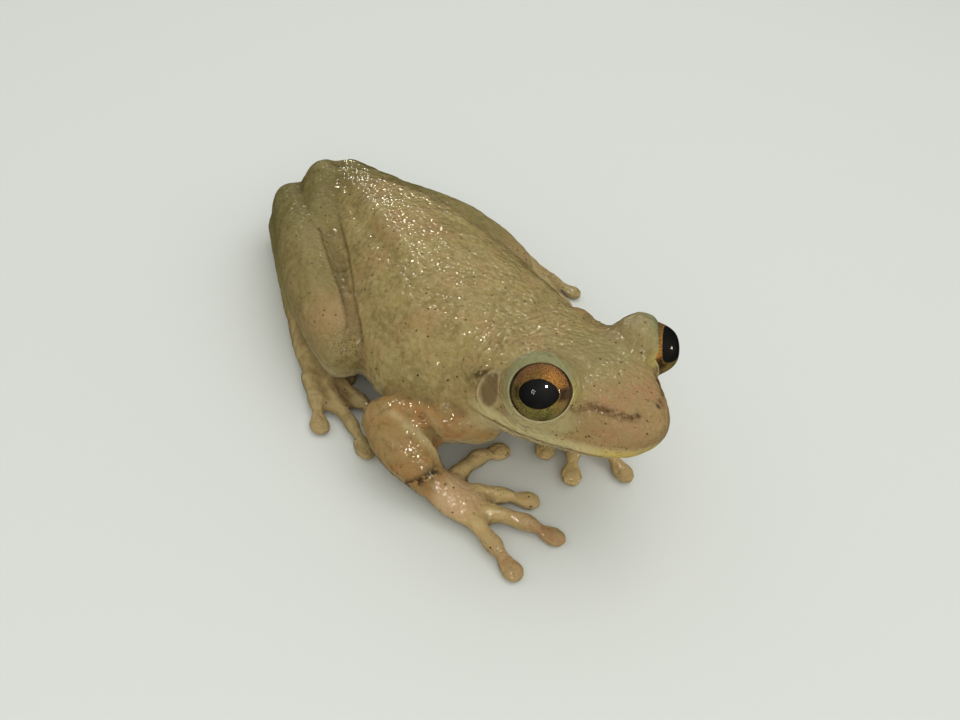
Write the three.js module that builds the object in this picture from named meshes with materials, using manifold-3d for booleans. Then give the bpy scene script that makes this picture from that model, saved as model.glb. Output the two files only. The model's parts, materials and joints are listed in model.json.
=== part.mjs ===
// A life-size tree frog, crouched with its hands under its chin and its hind legs folded.
// Millimetres, +X towards the snout, +Y towards the frog's left, +Z up, the floor at z = 0.
// Every named piece is a closed solid, and each one gives way to those set before it by GAP.
import * as THREE from "three";
import { mergeVertices } from "three/addons/utils/BufferGeometryUtils.js";
import Module from "manifold-3d";

const wasm = await Module();
wasm.setup();

// ---------------------------------------------------------------- driving dimensions
const GAP = 0.3; // clear space between two neighbouring pieces
const RIGHT = -1; // sides of the body, as signs of y
const LEFT = 1;

const NECK = new THREE.Vector3(8, 0, 13.5);
const HEAD_TURN = THREE.MathUtils.degToRad(3); // the head turns a little to the left,
const HEAD_TILT = THREE.MathUtils.degToRad(-4); // and leans to that side
const NECK_CUT = { x: 11.2, lean: THREE.MathUtils.degToRad(-14) }; // the plane that parts head from trunk
const EYE = { x: 17.2, y: 6.55, z: 13.75, radius: 2.8 };
const GAZE = { right: [0.5, -0.64, 0.58], left: [0.66, 0.64, 0.38] }; // where each eye looks
const LID = { thick: 0.4, rim: 1.15 }; // the raised lid round an eye, and how far out its rim stands
const EARDRUM = { x: 13.2, y: 7.75, z: 11.0, radius: 1.4, deep: 0.9 };
const EARDRUM_AXIS = new THREE.Vector3(-0.22, 0.95, 0.18).normalize();
const MOUTH = { x: 26, z: 10.6, slope: 0.18, hinge: 12.6 }; // the mouth's plane, and where the jaw ends
const CLEAR = 20; // how far a cutting block reaches past what it cuts

// Stations of the trunk and head: x, y of the middle, half width, top, height of the widest level,
// bottom. The back bends a little, so the middles don't lie on one line.
const TRUNK = [
  [-26.0, 1.6, 0.0, 7.4, 7.4, 7.4],
  [-23.5, 1.4, 3.0, 9.5, 7.0, 4.0],
  [-18.0, 0.8, 5.3, 10.8, 6.2, 1.2],
  [-11.0, 0.5, 7.9, 12.6, 5.9, -0.4],
  [-4.0, -0.6, 9.9, 13.6, 5.8, -0.6],
  [3.0, -1.3, 11.0, 13.5, 5.8, -0.2],
  [9.0, -1.0, 9.9, 13.1, 7.0, 1.6],
  [13.5, -0.2, 7.0, 12.4, 8.0, 4.6],
  [17.0, 0.0, 0.0, 9.4, 9.4, 9.4],
];
const HEAD = [
  [3.0, -0.4, 0.0, 9.6, 9.6, 9.6],
  [8.0, -0.3, 7.6, 13.2, 8.8, 4.6],
  [12.5, 0.0, 8.5, 14.3, 9.2, 5.6],
  [17.0, 0.0, 7.8, 15.2, 9.8, 6.8],
  [21.0, 0.0, 5.8, 14.9, 10.6, 8.2],
  [23.8, 0.0, 3.9, 14.2, 11.3, 9.5],
  [25.7, 0.0, 0.0, 12.2, 12.2, 12.2],
];
const TRUNK_FULLNESS = 2.1; // 2 is an oval section, more is squarer
const HEAD_FULLNESS = 2.7;

// A limb piece has its half widths and half heights at a few stops, and the stops themselves on
// each side of the frog: x, distance out from the mid line, z.
const SHANK = {
  sizes: [[2.3, 2.7], [3.0, 3.2], [3.0, 3.1], [2.2, 2.3]],
  right: [[-1.4, 12.5, 5.0], [-8.5, 10.9, 5.4], [-17.7, 7.4, 5.4], [-25.0, 4.7, 4.9]],
  left: [[-5.8, 11.8, 4.6], [-12.0, 10.7, 4.8], [-19.0, 7.4, 4.6], [-25.0, 4.2, 4.0]],
};
const THIGH = {
  sizes: [[2.4, 2.6], [3.3, 3.4], [2.6, 2.7]],
  right: [[-24.3, 1.1, 7.3], [-13.5, 7.5, 5.0], [-2.1, 10.9, 4.6]],
  left: [[-21.5, 4.5, 6.1], [-13.5, 7.0, 5.2], [-5.8, 10.0, 4.8]],
};
const TARSUS = {
  sizes: [[1.7, 1.8], [1.6, 1.6], [1.6, 1.5]],
  right: [[-24.6, 5.9, 2.6], [-18.0, 8.6, 1.9], [-11.5, 11.1, 1.6]],
  left: [[-24.6, 6.0, 2.4], [-20.0, 10.6, 1.9], [-15.6, 14.6, 1.6]],
};
const FOOT = {
  sizes: [[1.6, 1.5], [2.0, 1.3], [2.1, 1.1]],
  right: [[-11.5, 11.1, 1.6], [-6.5, 12.5, 1.4], [-3.2, 13.2, 1.2]],
  left: [[-15.6, 14.6, 1.6], [-11.6, 16.2, 1.4], [-8.6, 16.6, 1.2]],
};
const UPPER_ARM = {
  sizes: [[2.0, 2.0], [2.2, 2.2], [2.5, 2.4]],
  right: [[13.0, 6.8, 6.4], [10.2, 9.7, 5.6], [7.4, 13.2, 4.4]],
  left: [[10.6, 7.4, 5.8], [7.6, 9.6, 5.0], [4.4, 12.2, 4.0]],
};
const FOREARM = {
  sizes: [[2.5, 2.4], [2.7, 2.5], [1.7, 1.5]],
  right: [[7.4, 13.2, 4.4], [10.6, 13.1, 3.7], [14.0, 12.5, 2.4]],
  left: [[4.4, 12.2, 4.0], [6.8, 11.2, 3.5], [9.3, 9.2, 2.3]],
};
const PALM = {
  sizes: [[1.7, 1.5], [2.2, 1.3], [2.1, 1.0]],
  right: [[14.0, 12.5, 2.4], [16.4, 10.9, 1.5], [17.6, 10.2, 1.2]],
  left: [[9.3, 9.2, 2.3], [11.7, 7.1, 1.5], [12.9, 6.2, 1.2]],
};
// Digits, from the knuckle to the middle of the round toe pad. The waist stays narrow up to NECK_AT
// of the way from the middle joint to the pad.
const NECK_AT = 0.62;
const FINGERS = {
  sizes: { root: 0.95, waist: 0.82, low: 0.7, pad: 1.12, flat: 0.88 },
  right: [
    [[13.9, 9.6, 1.6], [12.7, 6.2, 1.1], [12.6, 3.0, 0.58]],
    [[16.2, 9.2, 1.6], [17.2, 7.0, 1.1], [18.8, 4.4, 0.58]],
    [[18.4, 9.4, 1.4], [20.6, 6.9, 1.1], [23.2, 5.0, 0.58]],
    [[18.9, 11.0, 1.4], [21.5, 10.8, 1.1], [24.3, 10.7, 0.58]],
  ],
  left: [
    [[11.9, 4.9, 1.6], [13.1, 3.0, 1.1], [14.6, 0.9, 0.58]],
    [[13.6, 5.0, 1.5], [16.0, 3.2, 1.1], [18.4, 1.1, 0.58]],
    [[14.6, 6.0, 1.4], [17.4, 6.2, 1.1], [20.5, 6.1, 0.58]],
    [[14.0, 7.4, 1.4], [15.9, 8.8, 1.1], [17.9, 10.0, 0.58]],
  ],
};
const TOES = {
  sizes: { root: 0.9, waist: 0.72, low: 0.61, pad: 1.05, flat: 0.84 },
  right: [
    [[-7.0, 12.0, 1.3], [-5.0, 10.9, 1.0], [-3.2, 10.0, 0.58]],
    [[-5.4, 12.2, 1.3], [-3.8, 11.6, 1.0], [-2.2, 11.1, 0.58]],
    [[-3.0, 13.0, 1.3], [0.6, 11.9, 1.0], [4.4, 11.3, 0.58]],
    [[-2.0, 14.0, 1.3], [2.4, 14.0, 1.0], [6.8, 14.5, 0.58]],
    [[-3.6, 14.7, 1.3], [-0.8, 15.5, 1.0], [2.2, 16.7, 0.58]],
  ],
  left: [
    [[-12.4, 14.6, 1.3], [-10.6, 13.4, 1.0], [-8.8, 12.4, 0.58]],
    [[-10.2, 15.0, 1.3], [-8.2, 13.9, 1.0], [-6.2, 13.0, 0.58]],
    [[-8.4, 15.9, 1.3], [-5.0, 15.2, 1.0], [-1.2, 14.8, 0.58]],
    [[-7.6, 16.9, 1.3], [-3.4, 17.0, 1.0], [1.0, 17.2, 0.58]],
    [[-9.0, 17.6, 1.3], [-6.2, 18.2, 1.0], [-3.2, 19.7, 0.58]],
  ],
};

// How finely each kind of piece is faceted: rows along, faces around, rows in a round end.
const BODY_FACETS = { along: 16, around: 20 };
const LIMB_FACETS = { along: 5, around: 10, cap: 2 };
const DIGIT_FACETS = { along: 3, around: 7, cap: 2 };
const BAR_FACETS = 18;
const BALL_FACETS = 8;

// ---------------------------------------------------------------- solids from geometry

// A closed three.js geometry as a manifold-3d solid, its seam merged and its empty triangles dropped.
function solid(geometry) {
  const bare = new THREE.BufferGeometry();
  bare.setAttribute("position", geometry.getAttribute("position"));
  bare.setIndex(geometry.index);
  const merged = mergeVertices(bare, 1e-4);
  const corners = merged.index.array;
  const kept = [];
  for (let i = 0; i < corners.length; i += 3) {
    const [a, b, c] = corners.subarray(i, i + 3);
    if (a !== b && b !== c && a !== c) kept.push(a, b, c);
  }
  return new wasm.Manifold(
    new wasm.Mesh({
      numProp: 3,
      vertProperties: merged.attributes.position.array,
      triVerts: new Uint32Array(kept),
    }),
  );
}

// The bulkiest piece of a solid, for when a cut leaves crumbs.
function bulk(shape) {
  return shape.decompose().reduce((a, b) => (a.volume() > b.volume() ? a : b));
}

// A function that runs smoothly through rows of [place, value, value, ...].
function through(rows) {
  const width = rows[0].length - 1;
  const places = new Float32Array(rows.map((row) => row[0]));
  const values = new Float32Array(rows.flatMap((row) => row.slice(1)));
  const spline = new THREE.CubicInterpolant(places, values, width, new Float32Array(width));
  return (place) => spline.evaluate(place);
}

const power = (value, exponent) => Math.sign(value) * Math.abs(value) ** exponent;

// The trunk's or head's skin: a sphere's rows become oval sections square to X. Squared sizes are
// interpolated, so that a station of no width closes in a round end.
function loft(stations, fullness, grow) {
  const sizes = through(
    stations.map(([x, middle, wide, top, mid, bottom]) => [
      x,
      wide ** 2,
      (top - mid) ** 2,
      (mid - bottom) ** 2,
      mid,
      middle,
    ]),
  );
  const rear = stations[0][0];
  const front = stations.at(-1)[0];
  const shape = new THREE.SphereGeometry(1, BODY_FACETS.around, BODY_FACETS.along);
  const point = shape.getAttribute("position");
  for (let i = 0; i < point.count; i++) {
    const share = (1 - point.getY(i)) / 2;
    const x = THREE.MathUtils.lerp(rear, front, share);
    const ring = Math.sqrt(Math.max(1 - point.getY(i) ** 2, 0)) || 1;
    const across = power(point.getX(i) / ring, 2 / fullness);
    const up = power(point.getZ(i) / ring, 2 / fullness);
    const [wide2, top2, bottom2, mid, middle] = sizes(x);
    const half = Math.sqrt(Math.max(up > 0 ? top2 : bottom2, 0));
    const onAxis = share < 1e-6 || share > 1 - 1e-6;
    const wide = onAxis ? 0 : Math.sqrt(Math.max(wide2, 0)) + grow;
    const tall = onAxis ? 0 : half + grow;
    point.setXYZ(i, x + grow * (2 * share - 1), middle + across * wide, mid + up * tall);
  }
  return shape;
}

// A limb: a capsule bent along a smooth line of stops, each [x, y, z, half width, half height].
function limb(stops, facets, grow) {
  const line = new THREE.CatmullRomCurve3(
    stops.map(([x, y, z]) => new THREE.Vector3(x, y, z)),
    false,
    "centripetal",
  );
  const sizes = through(stops.map((stop, i) => [i, stop[3], stop[4]]));
  const shape = new THREE.CapsuleGeometry(1, 1, facets.cap, facets.around, facets.along);
  const point = shape.getAttribute("position");
  const upright = new THREE.Vector3(0, 0, 1);
  for (let i = 0; i < point.count; i++) {
    const share = THREE.MathUtils.clamp(point.getY(i) + 0.5, 0, 1);
    const over = point.getY(i) + 0.5 - share; // how far past an end, in half widths
    const [wide, tall] = sizes(share * (stops.length - 1));
    const run = line.getTangent(share);
    const side = run.clone().cross(upright).normalize();
    const up = side.clone().cross(run);
    const at = line
      .getPoint(share)
      .addScaledVector(run, over * (wide + grow))
      .addScaledVector(side, point.getX(i) * (wide + grow))
      .addScaledVector(up, point.getZ(i) * (tall + grow));
    point.setXYZ(i, at.x, at.y, at.z);
  }
  return shape;
}

// A ball round a point.
function ball({ x, y, z }, radius) {
  return new THREE.SphereGeometry(radius, 2 * BALL_FACETS, BALL_FACETS).translate(x, y, z);
}

// A round bar from a point along a direction.
function bar(from, direction, radius, length) {
  const turn = new THREE.Quaternion().setFromUnitVectors(new THREE.Vector3(0, 1, 0), direction);
  return new THREE.CylinderGeometry(radius, radius, length, BAR_FACETS)
    .translate(0, length / 2, 0)
    .applyQuaternion(turn)
    .translate(from.x, from.y, from.z);
}

// ---------------------------------------------------------------- placing pieces

const frog = new THREE.Group();
const taken = []; // the space that placed pieces hold, GAP and all

const SKIN = { color: 0x9b8a6c, roughness: 0.45, metalness: 0 };
const BELLY = { color: 0xc9b48c, roughness: 0.5, metalness: 0 };
const PAD = { color: 0xb98a63, roughness: 0.4, metalness: 0 };
const EYEBALL = { color: 0x3a2412, roughness: 0.08, metalness: 0 };
const DRUM = { color: 0x7b6650, roughness: 0.5, metalness: 0 };

// Adds a solid to the frog as one named mesh.
function show(name, shape, finish) {
  const whole = bulk(shape.trimByPlane([0, 0, 1], 0));
  const mesh = whole.getMesh();
  const geometry = new THREE.BufferGeometry()
    .setAttribute("position", new THREE.BufferAttribute(mesh.vertProperties, 3))
    .setIndex(new THREE.BufferAttribute(mesh.triVerts, 1));
  geometry.computeVertexNormals();
  const piece = new THREE.Mesh(geometry, new THREE.MeshStandardMaterial(finish));
  piece.name = name;
  frog.add(piece);
}

// Carves away what is already taken, shows the rest, and takes the space for later pieces.
function place(name, shapeAt, finish) {
  const piece = taken.reduce((rest, space) => rest.subtract(space), shapeAt(0));
  show(name, piece, finish);
  taken.push(shapeAt(GAP));
}

const sideName = (side) => (side === LEFT ? "left" : "right");
const bothSides = (step) => [RIGHT, LEFT].forEach(step);

// The stops of a limb on one side, with x, y and z as they are in the frog.
const onSide = (limbStops, side) => limbStops[sideName(side)].map(([x, out, z]) => [x, side * out, z]);

// ---------------------------------------------------------------- head and trunk

// A geometry of the head, as it lies once the head is turned and tilted about the neck.
function inHead(geometry) {
  geometry.translate(-NECK.x, -NECK.y, -NECK.z).rotateX(HEAD_TILT).rotateZ(HEAD_TURN);
  return solid(geometry.translate(NECK.x, NECK.y, NECK.z));
}

const mirrored = (vector, side) => new THREE.Vector3(vector.x, side * vector.y, vector.z);

function eyeball(side, grow) {
  return inHead(ball(mirrored(EYE, side), EYE.radius + grow));
}

// The lid is a shell round the eyeball, open in front of its rim.
function withLid(body, side, grow) {
  const centre = mirrored(EYE, side);
  const out = new THREE.Vector3(...GAZE[sideName(side)]).normalize();
  const reach = EYE.radius + GAP + LID.thick + grow;
  const rim = centre.clone().addScaledVector(out, LID.rim + grow);
  return body.add(inHead(ball(centre, reach))).subtract(inHead(bar(rim, out, reach + GAP, reach)));
}

// The eardrum is a shallow round plate, let into the side of the head.
function eardrum(side, grow) {
  const out = mirrored(EARDRUM_AXIS, side);
  const from = mirrored(EARDRUM, side).addScaledVector(out, -EARDRUM.deep / 2 - grow);
  return inHead(bar(from, out, EARDRUM.radius + grow, EARDRUM.deep + 2 * grow));
}

function wholeBody(grow) {
  let body = solid(loft(TRUNK, TRUNK_FULLNESS, grow)).add(inHead(loft(HEAD, HEAD_FULLNESS, grow)));
  bothSides((side) => {
    body = withLid(body, side, grow);
  });
  return body;
}

// The space in front of the neck and under the mouth's plane, which the lower jaw fills.
function jawSpace(grow) {
  const rear = MOUTH.hinge - grow;
  const front = MOUTH.x + CLEAR;
  const lipAt = (x) => MOUTH.z + grow + MOUTH.slope * (x - MOUTH.x);
  const outline = new THREE.Shape([
    new THREE.Vector2(rear, -CLEAR),
    new THREE.Vector2(rear, lipAt(rear)),
    new THREE.Vector2(front, lipAt(front)),
    new THREE.Vector2(front, -CLEAR),
  ]);
  const block = new THREE.ExtrudeGeometry(outline, { depth: 2 * CLEAR, bevelEnabled: false });
  return inHead(block.rotateX(Math.PI / 2).translate(0, CLEAR, 0));
}

function headAndTrunk() {
  bothSides((side) => {
    place(`eye_${sideName(side)}`, (grow) => eyeball(side, grow), EYEBALL);
    place(`eardrum_${sideName(side)}`, (grow) => eardrum(side, grow), DRUM);
  });
  const body = taken.reduce((rest, space) => rest.subtract(space), wholeBody(0));
  const across = [Math.cos(NECK_CUT.lean), 0, Math.sin(NECK_CUT.lean)];
  const reach = NECK_CUT.x * across[0] + EYE.z * across[2];
  const front = body.trimByPlane(across, reach + GAP / 2);
  const rear = body.trimByPlane(across.map((value) => -value), GAP / 2 - reach);
  show("trunk", rear, SKIN);
  show("head", front.subtract(jawSpace(GAP)), SKIN);
  show("lower_jaw", front.intersect(jawSpace(0)), BELLY);
  taken.push(wholeBody(GAP));
}

// ---------------------------------------------------------------- limbs

// A digit runs from its knuckle to a round pad, and narrows between them.
function digit(stops, { root, waist, low, pad, flat }, grow) {
  const [knuckle, middle, tip] = stops;
  const neck = middle.map((value, axis) => THREE.MathUtils.lerp(value, tip[axis], NECK_AT));
  return solid(
    limb(
      [
        [...knuckle, root, root],
        [...middle, waist, waist],
        [...neck, waist, low],
        [...tip, pad, flat],
      ],
      DIGIT_FACETS,
      grow,
    ),
  );
}

function limbPiece(name, piece, side) {
  const stops = onSide(piece, side).map((stop, i) => [...stop, ...piece.sizes[i]]);
  place(`${name}_${sideName(side)}`, (grow) => solid(limb(stops, LIMB_FACETS, grow)), SKIN);
}

function digits(name, set, side) {
  set[sideName(side)].forEach((stops, i) => {
    const line = stops.map(([x, out, z]) => [x, side * out, z]);
    place(`${name}_${sideName(side)}_${i + 1}`, (grow) => digit(line, set.sizes, grow), PAD);
  });
}

// The folded legs press into the flanks, so they go before the trunk. The arms come out from under
// the shoulders, so they go after it.
bothSides((side) => limbPiece("shank", SHANK, side));
bothSides((side) => limbPiece("thigh", THIGH, side));
headAndTrunk();
bothSides((side) => {
  limbPiece("upper_arm", UPPER_ARM, side);
  limbPiece("forearm", FOREARM, side);
  limbPiece("palm", PALM, side);
  limbPiece("tarsus", TARSUS, side);
  limbPiece("foot", FOOT, side);
  digits("finger", FINGERS, side);
  digits("toe", TOES, side);
});

// The origin is at the middle of the frog's box, on the floor.
const box = new THREE.Box3().setFromObject(frog);
const middle = box.getCenter(new THREE.Vector3());
frog.position.set(-middle.x, -middle.y, 0);
const model = new THREE.Group();
model.add(frog);
export default model;
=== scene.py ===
# %% [markdown]
# # A tree frog in Blender
# A crouching tree frog, life size: about 51 mm from snout to vent. The frame holds its body as solid
# pieces, parted by thin gaps. Here they get what an artist adds by hand: one moist skin without
# seams, lids, mouth, wrinkles and markings, and two wet eyes.

import json
import math

import bpy
import numpy as np
from mathutils import Matrix, Vector

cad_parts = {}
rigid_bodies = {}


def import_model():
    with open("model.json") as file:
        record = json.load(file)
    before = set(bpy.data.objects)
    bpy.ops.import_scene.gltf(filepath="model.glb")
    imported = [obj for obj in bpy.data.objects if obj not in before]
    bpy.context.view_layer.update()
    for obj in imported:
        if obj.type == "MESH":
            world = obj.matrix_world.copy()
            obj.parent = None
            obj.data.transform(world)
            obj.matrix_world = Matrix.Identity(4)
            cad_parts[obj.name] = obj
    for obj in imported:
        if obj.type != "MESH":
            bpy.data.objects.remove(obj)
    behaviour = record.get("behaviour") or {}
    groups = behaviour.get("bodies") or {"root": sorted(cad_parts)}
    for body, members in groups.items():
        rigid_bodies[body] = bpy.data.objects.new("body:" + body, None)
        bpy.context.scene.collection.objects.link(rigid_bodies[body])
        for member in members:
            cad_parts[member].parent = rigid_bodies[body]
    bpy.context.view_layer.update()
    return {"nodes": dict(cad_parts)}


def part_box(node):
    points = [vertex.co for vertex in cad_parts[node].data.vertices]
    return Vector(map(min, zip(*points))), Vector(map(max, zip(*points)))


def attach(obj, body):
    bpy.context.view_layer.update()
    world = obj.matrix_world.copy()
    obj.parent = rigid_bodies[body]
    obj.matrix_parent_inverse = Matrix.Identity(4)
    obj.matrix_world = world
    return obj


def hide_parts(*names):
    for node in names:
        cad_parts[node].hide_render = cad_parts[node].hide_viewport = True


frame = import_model()
MM = 0.001  # the scene is in metres, and the frog's sizes below are in millimetres

# %% [markdown]
# ## The camera
# The camera looks down on the frog from in front of its right side, leaning a little to one side, as
# a hand-held one does. It is placed by the point it looks at, its distance and three angles.

# %% Place the camera
AIM = Vector((-4.20, 7.87, -7.41)) * MM
DISTANCE = 125 * MM
AZIMUTH = math.radians(46.14)  # from the snout's direction towards the frog's right
ELEVATION = math.radians(41.0)
ROLL = math.radians(14.23)

away = Vector((
    math.cos(ELEVATION) * math.cos(AZIMUTH),
    -math.cos(ELEVATION) * math.sin(AZIMUTH),
    math.sin(ELEVATION),
))
level = Vector((0, 0, 1)).cross(away).normalized()
upright = away.cross(level)
across = math.cos(ROLL) * level + math.sin(ROLL) * upright
turn = Matrix((across, away.cross(across), away)).transposed().to_4x4()
camera = bpy.data.objects.new("camera", bpy.data.cameras.new("camera"))
bpy.context.collection.objects.link(camera)
camera.data.lens = 41
camera.data.sensor_width = 36
camera.data.clip_start = 5 * MM
camera.matrix_world = Matrix.Translation(AIM + DISTANCE * away) @ turn
bpy.context.scene.camera = camera
print("the camera stands at", [round(value / MM, 1) for value in camera.location])

# %% [markdown]
# ## Helpers for materials
# Colours are chosen as sRGB hex values, which are what a colour picker shows, and a shader wants
# linear light. One function turns the one into the other, and one adds a node with its settings.


# %% Colours and nodes
def linear(hex_colour):
    """The linear RGBA of an sRGB hex value."""
    channels = [int(hex_colour[i : i + 2], 16) / 255 for i in (1, 3, 5)]
    return [c / 12.92 if c <= 0.04045 else ((c + 0.055) / 1.055) ** 2.4 for c in channels] + [1]


def add_node(tree, kind, inputs=None, **settings):
    """Adds a node, sets its properties, and sets or links its inputs by name or number."""
    node = tree.nodes.new(kind)
    for name, value in settings.items():
        setattr(node, name, value)
    for name, value in (inputs or {}).items():
        if isinstance(value, bpy.types.NodeSocket):
            tree.links.new(value, node.inputs[name])
        else:
            node.inputs[name].default_value = value
    return node


def new_material(name):
    """An empty node material and its output node."""
    material = bpy.data.materials.new(name)
    material.use_nodes = True
    material.node_tree.nodes.clear()
    return material, add_node(material.node_tree, "ShaderNodeOutputMaterial")


# %% [markdown]
# ## The stage
# A plain pale floor and soft light. A frog's skin is wet, so what it mirrors matters: two broad lamps
# model the forms and aren't mirrored at all, four small ones give the wet skin its glints, and three
# in front give each eye a sharp spark, a dim window and a warm glare.

# %% Floor and lamps
bpy.ops.mesh.primitive_plane_add(size=3, location=(0, 0, 0))
floor = bpy.context.object
floor.name = "floor"
paper, output = new_material("studio_paper")
shader = add_node(paper.node_tree, "ShaderNodeBsdfPrincipled", {
    "Base Color": linear("#d0cfca"),
    "Roughness": 0.9,
})
paper.node_tree.links.new(shader.outputs[0], output.inputs["Surface"])
floor.data.materials.append(paper)

LAMPS = {  # place and size in mm, power in watts, colour
    "sky_lamp": [(-30, 95, 245), 220, 0.19, "#fbfdff"],
    "fill_lamp": [(150, -120, 150), 170, 0.13, "#fffdf8"],
    "spark_lamp": [(123, -60, 176), 27, 0.16, "#fffaf0"],
    "window_lamp": [(97, -254, 152), 60, 0.06, "#eef4ff"],
    "glare_lamp": [(180, 142, 106), 34, 0.1, "#ffeccc"],
    "rim_lamp": [(-181, 49, 240), 25, 0.2, "#fffbe8"],
    "low_rim_lamp": [(-265, 100, 95), 24, 0.16, "#fffbe8"],
    "glitter_lamp": [(-95, 150, 215), 21, 0.18, "#fffbe8"],
    "arm_glint_lamp": [(125, 38, 232), 26, 0.13, "#fffbe8"],
}
for name, (place, size, power, colour) in LAMPS.items():
    bpy.ops.object.light_add(type="AREA", location=Vector(place) * MM)
    lamp = bpy.context.object
    lamp.name = name
    lamp.data.size = size * MM
    lamp.data.energy = power
    lamp.data.color = linear(colour)[:3]
    lamp.rotation_euler = Vector(place).to_track_quat("Z", "Y").to_euler()
    if name in ("sky_lamp", "fill_lamp"):
        lamp.visible_glossy = False  # soft light, and no broad white sheen
    else:
        lamp.visible_diffuse = False  # glints, and no hard shadows
glittering = bpy.data.collections.new("glittering")  # will hold the skin, all that these four light
for name in ("rim_lamp", "low_rim_lamp", "glitter_lamp", "arm_glint_lamp"):
    bpy.data.objects[name].light_linking.receiver_collection = glittering
floor.visible_glossy = False  # wet skin would look milky beside a white floor

world = bpy.data.worlds.new("studio")
bpy.context.scene.world = world
world.use_nodes = True
world.node_tree.nodes["Background"].inputs["Color"].default_value = linear("#e8eeea")
world.node_tree.nodes["Background"].inputs["Strength"].default_value = 1.0
world.cycles_visibility.glossy = False  # and under a white sky
bpy.context.scene.view_settings.view_transform = "Standard"
print("lamps:", ", ".join(LAMPS))

# %% [markdown]
# ## The head's own axes
# The head is turned and tilted a little. Its eyes are balls, so the boxes of their solids give
# their middles, and those give the head's axes. What lies on the head is then placed the same on
# both sides, in millimetres from the point midway between the eyes.

# %% Axes from the eyes
RIGHT = -1
LEFT = 1
SIDES = {"right": RIGHT, "left": LEFT}


def middle_and_radius(node):
    """The middle and half width of a ball-shaped solid, in millimetres."""
    low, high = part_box(node)
    return (low + high) / 2 / MM, (high.x - low.x) / 2 / MM


eyes = {side: middle_and_radius(f"eye_{side}") for side in SIDES}
HEAD_MIDDLE = (eyes["left"][0] + eyes["right"][0]) / 2
HEAD_LEFT = (eyes["left"][0] - eyes["right"][0]).normalized()
HEAD_FRONT = HEAD_LEFT.cross(Vector((0, 0, 1))).normalized()
HEAD_UP = HEAD_FRONT.cross(HEAD_LEFT)
HEAD_AXES = np.array([HEAD_FRONT, HEAD_LEFT, HEAD_UP])
EYE_RADIUS = eyes["left"][1]


def on_head(x, out, z, side=LEFT):
    """A point of the head: ahead of the eyes, out to one side, and above them."""
    return HEAD_MIDDLE + x * HEAD_FRONT + side * out * HEAD_LEFT + z * HEAD_UP


def head_direction(x, out, z, side=LEFT):
    """A direction in the head's axes."""
    return (x * HEAD_FRONT + side * out * HEAD_LEFT + z * HEAD_UP).normalized()


GAZE = {"right": head_direction(0.51, 0.66, 0.54, RIGHT), "left": head_direction(0.66, 0.65, 0.33)}
LOOK = {"right": GAZE["right"], "left": head_direction(0.73, 0.32, 0.61)}  # where the pupils point
print("eye radius", round(EYE_RADIUS, 2), "mm, head points along", [round(v, 2) for v in HEAD_FRONT])

# %% [markdown]
# ## One skin over all the flesh
# The solids of flesh are copied and joined, with a ball in each eye socket, so that the lids have
# something to lie on. They are fattened until the gaps close, and the Remesh modifier wraps them all
# in one closed surface of small even squares. Then the surface is slimmed down again. A sculptor
# works in the same order: rough forms, one remesh, and then the fine shape.

# %% Copy the flesh and add the eye sockets' fillings
VOXEL = 0.28  # the size of the remesh's squares, in millimetres
FATTEN = 0.22  # more than half a gap, so that gaps close
LID_BALL = 0.1  # how much the ball under the lids is larger than the eyeball

flesh = [name for name in sorted(frame["nodes"]) if not name.startswith("eye_")]
bpy.ops.object.select_all(action="DESELECT")
for name in flesh:
    copy = bpy.data.objects.new("flesh_copy", frame["nodes"][name].data.copy())
    bpy.context.collection.objects.link(copy)
    copy.select_set(True)
    bpy.context.view_layer.objects.active = copy
bpy.ops.object.join()
skin = bpy.context.object
skin.name = "skin"
skin.data.materials.clear()
bpy.ops.object.mode_set(mode="EDIT")
bpy.ops.mesh.select_all(action="SELECT")
bpy.ops.mesh.remove_doubles(threshold=0.002 * MM)
bpy.ops.mesh.select_all(action="DESELECT")
for middle, radius in eyes.values():
    bpy.ops.mesh.primitive_uv_sphere_add(
        segments=48,
        ring_count=24,
        radius=(radius + LID_BALL) * MM,
        location=middle * MM,
    )
print("joined", len(flesh), "solids")

# %% [markdown]
# ### Webs
# Thin skin spans the bases of the toes, and a little of it those of the fingers. Each web is a plane
# stretched between two neighbouring digits, with its free edge drawn in, and given a thickness. It
# is added before the remesh, so that it grows out of the digits with no seam.


# %% Find each digit's ends and stretch the webs
def points_of(piece):
    """All points of a mesh, in millimetres."""
    flat = np.empty(3 * len(piece.data.vertices), np.float32)
    piece.data.vertices.foreach_get("co", flat)
    return flat.reshape(-1, 3).astype(float) / MM


def move_points(piece, points):
    """Puts a mesh's points at new places, given in millimetres."""
    piece.data.vertices.foreach_set("co", (points * MM).astype(np.float32).ravel())
    piece.data.update()


PAD_FLAT = 0.02  # what lies lower than this, in millimetres, is a pad's flat underside
KNUCKLE = 0.8  # this much of a digit, at its end far from the pad, is its knuckle


def digit_ends(node):
    """The knuckle of a digit and the middle of its round pad."""
    points = points_of(frame["nodes"][node])
    flat = points[points[:, 2] < PAD_FLAT]
    pad = (flat.min(0) + flat.max(0)) / 2
    away_from_pad = np.linalg.norm(points - pad, axis=1)
    knuckle = points[away_from_pad > away_from_pad.max() - KNUCKLE].mean(0)
    return knuckle, pad


digits = {name: digit_ends(name) for name in flesh if name.startswith(("finger_", "toe_"))}
WEB_REACH = {"toe": 0.85, "finger": 0.34}  # share of the digits that a web spans
WEB_DRAWN_IN = 0.55  # share of that reach which the free edge lacks midway
WEB_THICK = 0.55
WEB_HEIGHT = 0.75  # a web hangs this high over the floor


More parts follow.
